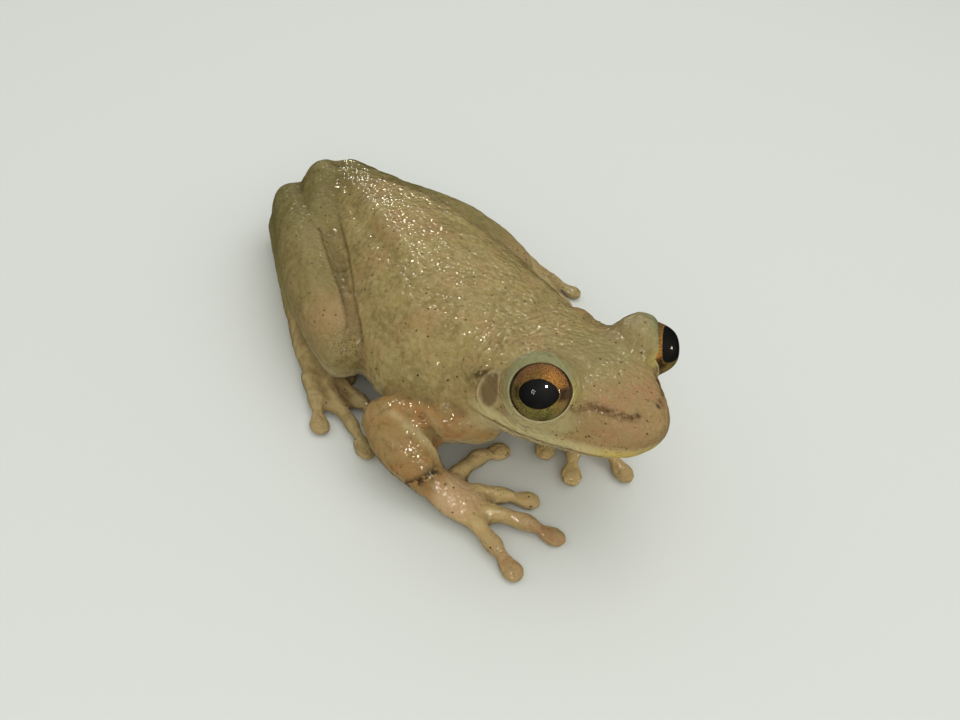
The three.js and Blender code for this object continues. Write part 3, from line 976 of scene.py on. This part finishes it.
shape = points_of(skin)
normals = normals_of(skin)
ends = edges_of(skin)
local = in_head_axes(shape)
solid_at = nearest_solid(shape)
over, mouth = above_mouth(local)
is_face = ramp(local[:, 0], MOUTH["hinge"] - 1.5, MOUTH["hinge"] + 1)


def both_sides(corners, place=on_head):
    """The same line on the frog's left and right."""
    return [[place(*corner, side) for corner in corners] for side in (LEFT, RIGHT)]


def line_mask(lines, width):
    """A mask round lines drawn over the skin."""
    mask = np.zeros(len(shape))
    for line in lines:
        distance, _ = distance_to_line(shape, snapped(smooth_line(line)), 2.5 * width)
        mask = np.maximum(mask, np.exp(-((np.minimum(distance, 9) / width) ** 2)))
    return mask


def spot_mask(spot, reach, place=on_head):
    """A mask round the same point on the frog's left and right."""
    mask = np.zeros(len(shape))
    for side in SIDES.values():
        distance = np.linalg.norm(shape - np.array(place(*spot, side)), axis=1)
        mask = np.maximum(mask, np.exp(-((distance / reach) ** 2)))
    return mask


print("masks are painted on", len(shape), "points")

# %% Masks of the lids and eardrums
lids, lid_corners, low_lids, lid_rims = np.zeros((4, len(shape)))
for side in SIDES:
    past, distance, _, turn = past_margin(shape, side)
    from_top = np.abs(np.angle(np.exp(1j * (turn - UPPER_LID - math.radians(12)))))
    band = 0.1 + 0.7 * (1 - ramp(from_top, 0.2, 1.2))
    close = 1 - ramp(distance, EYE_RADIUS + 0.9, EYE_RADIUS + 1.9)
    lids = np.maximum(lids, (1 - ramp(past, band, band + 0.7)) * close * (1 - ramp(from_top, 1.2, 2.1)))
    from_corner = np.abs(np.angle(np.exp(1j * (turn - CORNER_TURN))))
    corner = (1 - ramp(from_corner, 0.0, 0.6)) * (1 - ramp(past, 0.3, 1.0)) * close
    lid_corners = np.maximum(lid_corners, corner)
    below = 1 - ramp(np.sin(turn - CORNER_TURN), -0.75, -0.1)
    low_lids = np.maximum(low_lids, below * (1 - ramp(past, 1.0, 2.2)) * close)
    rim = np.exp(-(((past - 0.06) / 0.06) ** 2)) * (1 - ramp(np.sin(turn), -0.1, 0.6)) * close
    lid_rims = np.maximum(lid_rims, rim)
drums, drum_rims = np.zeros((2, len(shape)))
for side in SIDES.values():
    ring = round_drum(shape, side, 1.5)
    drums = np.maximum(drums, 1 - ramp(ring, 0.8, 1.05))
    drum_rims = np.maximum(drum_rims, np.exp(-(((ring - 1.14) / 0.12) ** 2)))
print("lids cover", int((lids > 0.5).sum()), "points, and eardrums", int((drums > 0.5).sum()))

# %% All masks, stored on the skin
hollow = blurred(hollow_of(shape, normals, 3), 2)
underside = ramp(-normals[:, 2], -0.05, 0.65)
masks = {
    "lids": lids,
    "lid_corners": lid_corners,
    "low_lids": low_lids,
    "lid_rims": lid_rims,
    "drums": drums,
    "drum_rims": drum_rims,
    "lip": ramp(over, 0.02, 0.25) * (1 - ramp(over, 0.8, 1.7)) * is_face,
    "jaw": (1 - ramp(over, -0.2, 0.0)) * ramp(over, -2.6, -0.6) * is_face,
    "mouth_line": np.exp(-((over / 0.14) ** 2)) * mouth,
    "lip_front": ramp(over, -0.1, 0.3) * (1 - ramp(over, 0.7, 1.5)) * ramp(local[:, 0], 4.5, 7.5),
    "rump": ramp(-shape[:, 0], 13, 21),
    "snout": ramp(local[:, 0], 0.5, 5.0) * (1 - lids),
    "crown": ramp(local[:, 0], -5, -1) * (1 - ramp(local[:, 0], 0, 4)) * ramp(local[:, 2], -2, 0.5),
    "neck": ramp(local[:, 0], -14, -9) * (1 - ramp(local[:, 0], -6, -3)) * ramp(local[:, 2], -4, -1.5),
    "stripe": line_mask(both_sides(STRIPE), 0.36),
    "lip_specks": line_mask(both_sides(SPECKLED_LIP), 0.8),
    "ear_dark": np.maximum(line_mask(both_sides(EAR_SHADE), 0.5), 0.6 * spot_mask((-5.8, 8.3, -3), 0.8)),
    # painted shade: the nostril openings darkened as holes look
    "nostrils": spot_mask(NOSTRIL, 0.34),
    "knees": spot_mask((-3.5, 12.8, 7.8), 3.2, on_body),
    "knee_specks": spot_mask((0.8, 12.2, 7.2), 2.4, on_body) * part_mask(("thigh", "shank"), 3),
    "wrist_band": line_mask([WRIST_FOLD], 0.45),
    # painted highlight: a pale line along the sharp ridge of the right forearm
    "arm_ridge_highlight": line_mask([ARM_RIDGE], 0.4),
    # painted shade: thin dark lines in the grooves between thigh, shank and trunk of the right leg
    "leg_crease_shade": line_mask(LEG_CREASES, 0.14),
    "under": underside,
    "arms": part_mask(("upper_arm", "forearm", "palm", "finger")),
    "palms": part_mask("palm"),
    "legs": part_mask(("thigh", "shank", "tarsus")),
    "fingers": part_mask("finger"),
    "toes": part_mask(("toe", "foot")),
    # painted shade: darker where the skin lies hollow, in creases and folds
    "crease": ramp(hollow, 0.008, 0.05),
    # painted highlight: lighter where the skin stands out, on ridges
    "ridge": ramp(-hollow, 0.0, 0.04),
}
for name, mask in masks.items():
    attribute = skin.data.attributes.new(name, "FLOAT", "POINT")
    attribute.data.foreach_set("value", mask.astype(np.float32))
print("painted", len(masks), "masks")

# %% [markdown]
# ## The skin's material
# Frog skin is a thin moist film over soft, faintly translucent flesh. So the Principled shader gets
# a little scattering under the surface, a middle roughness with hardly any gloss of its own, and a
# clear coat for the wet film, which does all the glittering.

# %% Helpers for patterns and layers
skin_paint, output = new_material("moist_frog_skin")
tree = skin_paint.node_tree
place = add_node(tree, "ShaderNodeTexCoord").outputs["Object"]
masks_in = {
    name: add_node(tree, "ShaderNodeAttribute", attribute_name=name).outputs["Fac"] for name in masks
}


def multiplied(first, second):
    """Where two masks both hold, or one mask made weaker by a factor."""
    return add_node(tree, "ShaderNodeMath", {0: first, 1: second}, operation="MULTIPLY").outputs[0]


def between(value, start, end):
    """0 at start, 1 at end, and smooth between them."""
    return add_node(tree, "ShaderNodeMapRange", {
        "Value": value,
        "From Min": start,
        "From Max": end,
    }, interpolation_type="SMOOTHSTEP").outputs[0]


def ranged(mask, at_none, at_full):
    """A value that goes from at_none to at_full as the mask goes from 0 to 1."""
    return add_node(tree, "ShaderNodeMapRange", {
        "Value": mask,
        "To Min": at_none,
        "To Max": at_full,
    }).outputs[0]


def noise_mask(size, low, high):
    """Soft patches of a size in millimetres, from 0 where the noise is low to 1 where it is high."""
    pattern = add_node(tree, "ShaderNodeTexNoise", {
        "Vector": place,
        "Scale": 1 / (size * MM),
        "Detail": 3,
        "Roughness": 0.6,
    })
    return between(pattern.outputs["Fac"], low, high)


def pore_mask(size, radius):
    """Round spots, one in each cell of a size in millimetres, and of a radius in cells."""
    cells = add_node(tree, "ShaderNodeTexVoronoi", {"Vector": place, "Scale": 1 / (size * MM)})
    return between(cells.outputs["Distance"], radius, radius * 0.5)


def glaze(below, hex_colour, mask, share=1):
    """Lays a colour over the one below, where the mask says, and covers a share of it."""
    if share < 1:
        mask = multiplied(mask, share)
    layer = {0: mask, 6: below, 7: linear(hex_colour)}
    return add_node(tree, "ShaderNodeMix", layer, data_type="RGBA").outputs[2]


def glazed(ground_colour, layers):
    """A ground colour under layers: each has a colour, the mask that it fills, and its share."""
    ground = add_node(tree, "ShaderNodeRGB")
    ground.outputs[0].default_value = linear(ground_colour)
    result = ground.outputs[0]
    for hex_colour, mask, share in layers:
        result = glaze(result, hex_colour, mask, share)
    return result


print("the material reads", len(masks_in), "masks")

# %% [markdown]
# ### Colours in layers
# The colour is laid down as a painter glazes: a mottled taupe ground, darker legs and rump, warmer
# arms, a brown snout, green lids and pale lips, painted shade in creases, leg grooves and nostrils, a
# painted highlight on ridges and along the forearm's ridge, and at the end dark lines, pores and specks.

# %% Glaze the skin
SKIN_LAYERS = [
    ("#7b693f", noise_mask(3.2, 0.38, 0.66), 0.8),
    ("#ab9566", noise_mask(0.6, 0.35, 0.7), 0.55),
    ("#6f5f3c", noise_mask(0.35, 0.52, 0.68), 0.35),
    ("#9a7550", noise_mask(4.5, 0.48, 0.64), 0.4),
    ("#6b6139", masks_in["legs"], 0.6),
    ("#62582f", masks_in["rump"], 0.7),
    ("#8f6e42", masks_in["arms"], 0.7),
    ("#99693c", multiplied(masks_in["arms"], noise_mask(2.5, 0.45, 0.6)), 0.6),
    ("#664929", multiplied(masks_in["arms"], noise_mask(0.8, 0.55, 0.66)), 0.45),
    ("#c0a079", masks_in["palms"], 0.75),
    ("#c9ad78", masks_in["fingers"], 0.75),
    ("#a38c60", masks_in["toes"], 0.6),
    ("#7d6340", multiplied(masks_in["toes"], noise_mask(1.1, 0.48, 0.62)), 0.5),
    ("#a07d58", masks_in["knees"], 0.6),
    ("#947750", masks_in["snout"], 0.75),
    ("#9c7053", multiplied(masks_in["snout"], noise_mask(1.8, 0.45, 0.62)), 0.5),
    ("#847a53", masks_in["crown"], 0.6),
    ("#beb089", masks_in["under"], 0.7),
    ("#aba073", masks_in["low_lids"], 0.55),
    ("#c3b684", masks_in["lip"], 0.7),
    ("#b89d48", masks_in["lip_front"], 0.8),
    ("#b5a277", masks_in["jaw"], 0.7),
    ("#7a7d5a", masks_in["lids"], 0.7),
    ("#aa9a56", masks_in["lid_corners"], 0.75),
    ("#c2b994", masks_in["lid_rims"], 0.5),
    ("#3f3018", multiplied(masks_in["ear_dark"], noise_mask(0.5, 0.35, 0.55)), 1),
    ("#735d40", masks_in["drums"], 0.9),
    ("#ad9a76", masks_in["drum_rims"], 0.55),
    ("#5b4527", masks_in["mouth_line"], 0.75),
    # painted shade inside the nostrils
    ("#2a2118", masks_in["nostrils"], 0.95),
    # painted highlight along the forearm's ridge
    ("#beae83", masks_in["arm_ridge_highlight"], 0.5),
    # painted shade in the creases and folds
    ("#54422a", masks_in["crease"], 0.35),
    # painted shade in the leg's grooves
    ("#43341c", masks_in["leg_crease_shade"], 0.6),
    # painted highlight on the ridges
    ("#b2a37a", masks_in["ridge"], 0.15),
    ("#2e2315", multiplied(masks_in["wrist_band"], noise_mask(0.9, 0.43, 0.53)), 1),
    ("#62472a", multiplied(masks_in["stripe"], noise_mask(0.7, 0.35, 0.55)), 1),
]
colour = glazed("#907d4e", SKIN_LAYERS)
print("laid", len(SKIN_LAYERS), "layers of colour")

# %% Prick the pores and specks
for size, radius, low in ((0.95, 0.14, 0.4), (0.45, 0.17, 0.5)):
    pores = multiplied(pore_mask(size, radius), noise_mask(1.6 * size, low, low + 0.08))
    colour = glaze(colour, "#33260f", pores, 0.9)
speckled = add_node(tree, "ShaderNodeMath", {
    0: masks_in["stripe"],
    1: masks_in["knee_specks"],
}, operation="MAXIMUM").outputs[0]
for size, radius in ((0.19, 0.42), (0.33, 0.3)):
    dots = multiplied(pore_mask(size, radius), multiplied(speckled, noise_mask(0.8, 0.36, 0.5)))
    colour = glaze(colour, "#38240f", dots)
sparse = multiplied(pore_mask(0.4, 0.22), multiplied(masks_in["lip_specks"], noise_mask(0.9, 0.45, 0.55)))
colour = glaze(colour, "#38240f", sparse)
dusted = multiplied(pore_mask(0.3, 0.26), multiplied(masks_in["snout"], noise_mask(1.3, 0.42, 0.54)))
colour = glaze(colour, "#4a3519", dusted, 0.6)
print("pricked pores on the body, and specks on stripe, knees, lips and snout")

# %% [markdown]
# ### Relief and the wet film
# What glitters is the film of water. It lies over domes half a millimetre wide, and each dome mirrors
# a small lamp as one bright dot. Finer grain would smear the dots into a milky sheen, so the grain
# goes into the skin under the film, and not into the film. The film is whole and smoother on the
# arms, patchy on the back, thin on the snout, and almost gone on the legs.

# %% Raise the relief
WIDTH = {"granule": 0.26, "grain": 0.6, "dome": 0.55, "pleat": 0.8, "swell": 1.3}  # millimetres


def heightened(height, pattern, amount):
    """A height with some of a pattern added."""
    return add_node(tree, "ShaderNodeMath", {
        0: pattern,
        1: amount,
        2: height,
    }, operation="MULTIPLY_ADD").outputs[0]


granule = add_node(tree, "ShaderNodeTexVoronoi", {
    "Vector": place,
    "Scale": 1 / (WIDTH["granule"] * MM),
    "Smoothness": 0.4,
}, feature="SMOOTH_F1")
grain = add_node(tree, "ShaderNodeTexNoise", {
    "Vector": place,
    "Scale": 1 / (WIDTH["grain"] * MM),
    "Detail": 2,
    "Roughness": 0.6,
})
beads = add_node(tree, "ShaderNodeTexVoronoi", {"Vector": place, "Scale": 1 / (WIDTH["dome"] * MM)})
domes = multiplied(beads.outputs["Distance"], beads.outputs["Distance"])
relief = heightened(grain.outputs["Fac"], granule.outputs["Distance"], -0.3)
relief = heightened(relief, domes, -1.6)
stretched = add_node(tree, "ShaderNodeVectorMath", {0: place, 1: (1.0, 0.28, 0.6)}, operation="MULTIPLY")
pleats = add_node(tree, "ShaderNodeTexNoise", {
    "Vector": stretched.outputs[0],
    "Scale": 1 / (WIDTH["pleat"] * MM),
    "Detail": 2,
    "Distortion": 0.4,
})
pleated = add_node(tree, "ShaderNodeBump", {
    "Height": multiplied(pleats.outputs["Fac"], masks_in["neck"]),
    "Strength": 1.0,
    "Distance": 0.035 * MM,
})
pebbled = add_node(tree, "ShaderNodeBump", {
    "Height": relief,
    "Strength": 0.7,
    "Distance": 0.11 * MM,
    "Normal": pleated.outputs[0],
})
print("granules", WIDTH["granule"], "mm wide, on a pleated neck")

# %% Wet it with a film of water
swell = add_node(tree, "ShaderNodeTexNoise", {
    "Vector": place,
    "Scale": 1 / (WIDTH["swell"] * MM),
    "Detail": 1,
})
film_height = heightened(swell.outputs["Fac"], domes, -1.0)
beaded = add_node(tree, "ShaderNodeBump", {
    "Height": multiplied(film_height, ranged(masks_in["arms"], 1.0, 0.45)),
    "Strength": 1.0,
    "Distance": 0.14 * MM,
    "Normal": pleated.outputs[0],
})
patchy = add_node(tree, "ShaderNodeMath", {
    0: ranged(noise_mask(2.6, 0.38, 0.56), 0.3, 1.0),
    1: masks_in["arms"],
}, operation="MAXIMUM").outputs[0]
film = multiplied(ranged(masks_in["legs"], 1.0, 0.15), patchy)
film = multiplied(film, ranged(masks_in["snout"], 1.0, 0.5))
print("a film of water over domes", WIDTH["dome"], "mm wide")

# %% Put the skin together
shader = add_node(tree, "ShaderNodeBsdfPrincipled", {
    "Base Color": colour,
    "Roughness": ranged(noise_mask(2.4, 0.35, 0.65), 0.42, 0.58),
    "IOR": 1.4,  # moist tissue
    "Specular IOR Level": 0.06,  # the film mirrors, and the flesh under it hardly does
    "Subsurface Weight": 0.12,
    "Subsurface Radius": (0.9, 0.45, 0.25),  # red light travels farthest in flesh
    "Subsurface Scale": 0.6 * MM,
    "Coat Weight": film,
    "Coat Roughness": 0.05,
    "Coat IOR": 1.33,  # water
    "Normal": pebbled.outputs[0],
    "Coat Normal": beaded.outputs[0],
})
tree.links.new(shader.outputs[0], output.inputs["Surface"])
skin.data.materials.append(skin_paint)
glittering.objects.link(skin)
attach(skin, "root")
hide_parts(*flesh)
print("skin:", len(skin.data.polygons), "triangles")

# %% [markdown]
# ## The eyes
# A frog's eye is a clear dome over a metallic iris, with a wide flat pupil. Two pieces make it: an
# eyeball that carries the iris and pupil, and a clear cornea that stands a little proud of it. Both
# start as spheres whose pole looks along the gaze.

# %% Shape the eyeballs and corneas
EYEBALL = {"radius": EYE_RADIUS - 0.06, "bulge": 0.32}
CORNEA = {"radius": EYE_RADIUS - 0.02, "bulge": 0.46, "edge": math.radians(74)}


def sphere_round(side):
    """A fine unit sphere whose pole looks along the gaze, its points, and their polar angles."""
    bpy.ops.object.select_all(action="DESELECT")
    bpy.ops.mesh.primitive_uv_sphere_add(segments=96, ring_count=64, radius=1)
    piece = bpy.context.object
    points = points_of(piece) * MM
    points /= np.linalg.norm(points, axis=1)[:, None]
    for polygon in piece.data.polygons:
        polygon.use_smooth = True
    return piece, points, np.arccos(np.clip(points[:, 2], -1, 1))


PUPIL_TURN = {"right": math.radians(-16), "left": math.radians(26)}
PUPIL_SIZE = {"right": 1.0, "left": 1.13}  # the left eye is more in the shade


def place_in_eye(piece, side, plane_points):
    """Turns points from the eye's own axes, x ahead, y up and z along the gaze, into the head's."""
    gaze, ahead, up = eye_axes(side)
    offset = plane_points @ np.array([ahead, up, gaze])
    move_points(piece, np.array(eyes[side][0]) + offset)
    look, look_ahead, look_up = eye_axes(side, LOOK)
    x, y = offset @ look_ahead, offset @ look_up
    cosine, sine = math.cos(PUPIL_TURN[side]), math.sin(PUPIL_TURN[side])
    in_plane = np.c_[x * cosine - y * sine, x * sine + y * cosine, offset @ look] / PUPIL_SIZE[side]
    own = piece.data.attributes.new("eye_plane", "FLOAT_VECTOR", "POINT")
    own.data.foreach_set("vector", in_plane.astype(np.float32).ravel())
    if np.cross(ahead, up) @ gaze < 0:
        piece.data.flip_normals()


def bulging(angle, radius, bulge):
    """The radius of an eye's dome, fullest along the gaze."""
    return radius + bulge * (1 - ramp(angle, math.radians(18), math.radians(62)))


def build_eyeball(side):
    """The ball that carries the iris."""
    piece, points, angle = sphere_round(side)
    piece.name = f"eyeball_{side}"
    radius = bulging(angle, EYEBALL["radius"], EYEBALL["bulge"])
    place_in_eye(piece, side, points * radius[:, None])
    return piece


def build_cornea(side):
    """A closed clear lens over the iris: the sphere's far half is folded in under its near half."""
    piece, points, angle = sphere_round(side)
    piece.name = f"cornea_{side}"
    folded = np.where(angle <= math.pi / 2, angle, math.pi - angle) / (math.pi / 2) * CORNEA["edge"]
    outer = bulging(folded, CORNEA["radius"], CORNEA["bulge"])
    inner = bulging(folded, EYEBALL["radius"], EYEBALL["bulge"]) - 0.015
    radius = np.where(angle <= math.pi / 2, outer, inner)
    turn = np.arctan2(points[:, 1], points[:, 0])
    direction = np.c_[np.sin(folded) * np.cos(turn), np.sin(folded) * np.sin(turn), np.cos(folded)]
    place_in_eye(piece, side, direction * radius[:, None])
    return piece


eyeballs = {side: build_eyeball(side) for side in SIDES}
corneas = {side: build_cornea(side) for side in SIDES}
print("eyeballs and corneas:", [len(piece.data.polygons) for piece in eyeballs.values()], "faces each")

# %% [markdown]
# ### Iris and pupil
# The iris is copper above and in front, and olive below and behind, with a fine net over it and a
# broken gold line round the pupil. The pupil is a lying rhomb with round corners, and a dark band
# runs on from its ends. All of it is drawn from two coordinates in the eye's own plane, in
# millimetres.

# %% Measure the iris's plane
iris_paint, output = new_material("copper_iris")
tree = iris_paint.node_tree
PUPIL = {
    "middle": (-0.16, -0.03, 0),
    "half_size": (1.6, 1.21, 1),
    "front_power": 1.78,
    "rear_power": 2.0,
}
plane = add_node(tree, "ShaderNodeAttribute", attribute_name="eye_plane").outputs["Vector"]
flat = add_node(tree, "ShaderNodeVectorMath", {0: plane, 1: (1, 1, 0)}, operation="MULTIPLY").outputs[0]
from_axis = add_node(tree, "ShaderNodeVectorMath", {0: flat}, operation="LENGTH").outputs["Value"]
centred = add_node(tree, "ShaderNodeVectorMath", {
    0: plane,
    1: PUPIL["middle"],
}, operation="SUBTRACT").outputs[0]
split = add_node(tree, "ShaderNodeSeparateXYZ", {"Vector": centred})
x, y = split.outputs["X"], split.outputs["Y"]
ratio = add_node(tree, "ShaderNodeVectorMath", {
    0: centred,
    1: PUPIL["half_size"],
}, operation="DIVIDE").outputs[0]
ratio = add_node(tree, "ShaderNodeVectorMath", {0: ratio}, operation="ABSOLUTE").outputs[0]
ratios = add_node(tree, "ShaderNodeSeparateXYZ", {"Vector": ratio})
power = ranged(between(x, -0.1, 0.1), PUPIL["rear_power"], PUPIL["front_power"])
terms = [
    add_node(tree, "ShaderNodeMath", {0: ratios.outputs[axis], 1: power}, operation="POWER").outputs[0]
    for axis in ("X", "Y")
]
rhomb = add_node(tree, "ShaderNodeMath", {0: terms[0], 1: terms[1]}, operation="ADD").outputs[0]
print("the pupil is", [2 * size for size in PUPIL["half_size"][:2]], "mm long and high")

# %% Draw the net, the band and the gold line
fleck = add_node(tree, "ShaderNodeTexNoise", {
    "Vector": plane,
    "Scale": 8.5,
    "Detail": 3,
    "Roughness": 0.7,
}).outputs["Fac"]
wander = add_node(tree, "ShaderNodeTexNoise", {"Vector": plane, "Scale": 2.6, "Detail": 3})
bent = add_node(tree, "ShaderNodeVectorMath", {
    0: wander.outputs["Color"],
    1: (0.9, 0.9, 0.9),
    2: plane,
}, operation="MULTIPLY_ADD").outputs[0]
cells = add_node(tree, "ShaderNodeTexVoronoi", {"Vector": bent, "Scale": 4.2}, feature="DISTANCE_TO_EDGE")
net = multiplied(between(cells.outputs["Distance"], 0.16, 0.03), between(fleck, 0.38, 0.5))
lifted = add_node(tree, "ShaderNodeMath", {0: x, 1: 0.35, 2: y}, operation="MULTIPLY_ADD").outputs[0]
upward, downward = between(lifted, -0.5, 0.5), between(lifted, 0.5, -0.5)
front_top = multiplied(between(x, -0.5, 1.3), between(y, 0.0, 0.8))
front_low = multiplied(between(x, 0.9, 1.6), between(y, -0.2, -0.6))
off_level = add_node(tree, "ShaderNodeMath", {0: y}, operation="ABSOLUTE").outputs[0]
band = multiplied(between(off_level, 0.8, 0.25), between(rhomb, 0.95, 1.1))
band = multiplied(band, between(x, -2.6, -1.5))
gold_line = multiplied(between(rhomb, 1.2, 1.08), between(fleck, 0.6, 0.4))
print("drew the iris with", len(tree.nodes), "nodes")

# %% Glaze the iris
IRIS_LAYERS = [
    ("#7a5b2d", upward, 1),
    ("#53431d", between(x, -1.0, -2.0), 0.75),
    ("#43411a", multiplied(between(rhomb, 1.6, 1.1), downward), 0.6),
    ("#865f35", front_low, 0.7),
    ("#b17a36", front_top, 1),
    ("#885d41", multiplied(upward, between(from_axis, 1.6, 2.2)), 0.65),
    ("#3a2611", between(fleck, 0.48, 0.6), 0.75),
    ("#bf944f", multiplied(between(fleck, 0.44, 0.34), front_top), 0.7),
    ("#3f2b12", multiplied(net, upward), 0.4),
    ("#8f8546", multiplied(net, downward), 0.85),
    ("#2a1a0c", band, 0.9),
    ("#937935", gold_line, 0.5),
    # a dark ring at the iris's edge: partly its own dark rim, partly painted shadow of the lids
    ("#22130a", between(from_axis, 2.24, 2.42), 1),
    ("#040302", between(rhomb, 1.06, 0.97), 1),
]
shader = add_node(tree, "ShaderNodeBsdfPrincipled", {
    "Base Color": glazed("#585226", IRIS_LAYERS),
    "Roughness": 0.5,
    "Specular IOR Level": 0.1,
})
tree.links.new(shader.outputs[0], output.inputs["Surface"])
print("laid", len(IRIS_LAYERS), "layers on the iris")

# %% Clear corneas over the eyeballs
clear, output = new_material("clear_wet_cornea")
shader = add_node(clear.node_tree, "ShaderNodeBsdfPrincipled", {
    "Base Color": linear("#ffffff"),
    "Roughness": 0.0,
    "IOR": 1.36,
    "Transmission Weight": 1.0,
})
clear.node_tree.links.new(shader.outputs[0], output.inputs["Surface"])
for side in SIDES:
    eyeballs[side].data.materials.append(iris_paint)
    corneas[side].data.materials.append(clear)
    corneas[side].visible_shadow = False
    for piece in (eyeballs[side], corneas[side]):
        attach(piece, "root")
    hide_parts(f"eye_{side}")
print("materials:", sorted(material.name for material in bpy.data.materials if material.users))
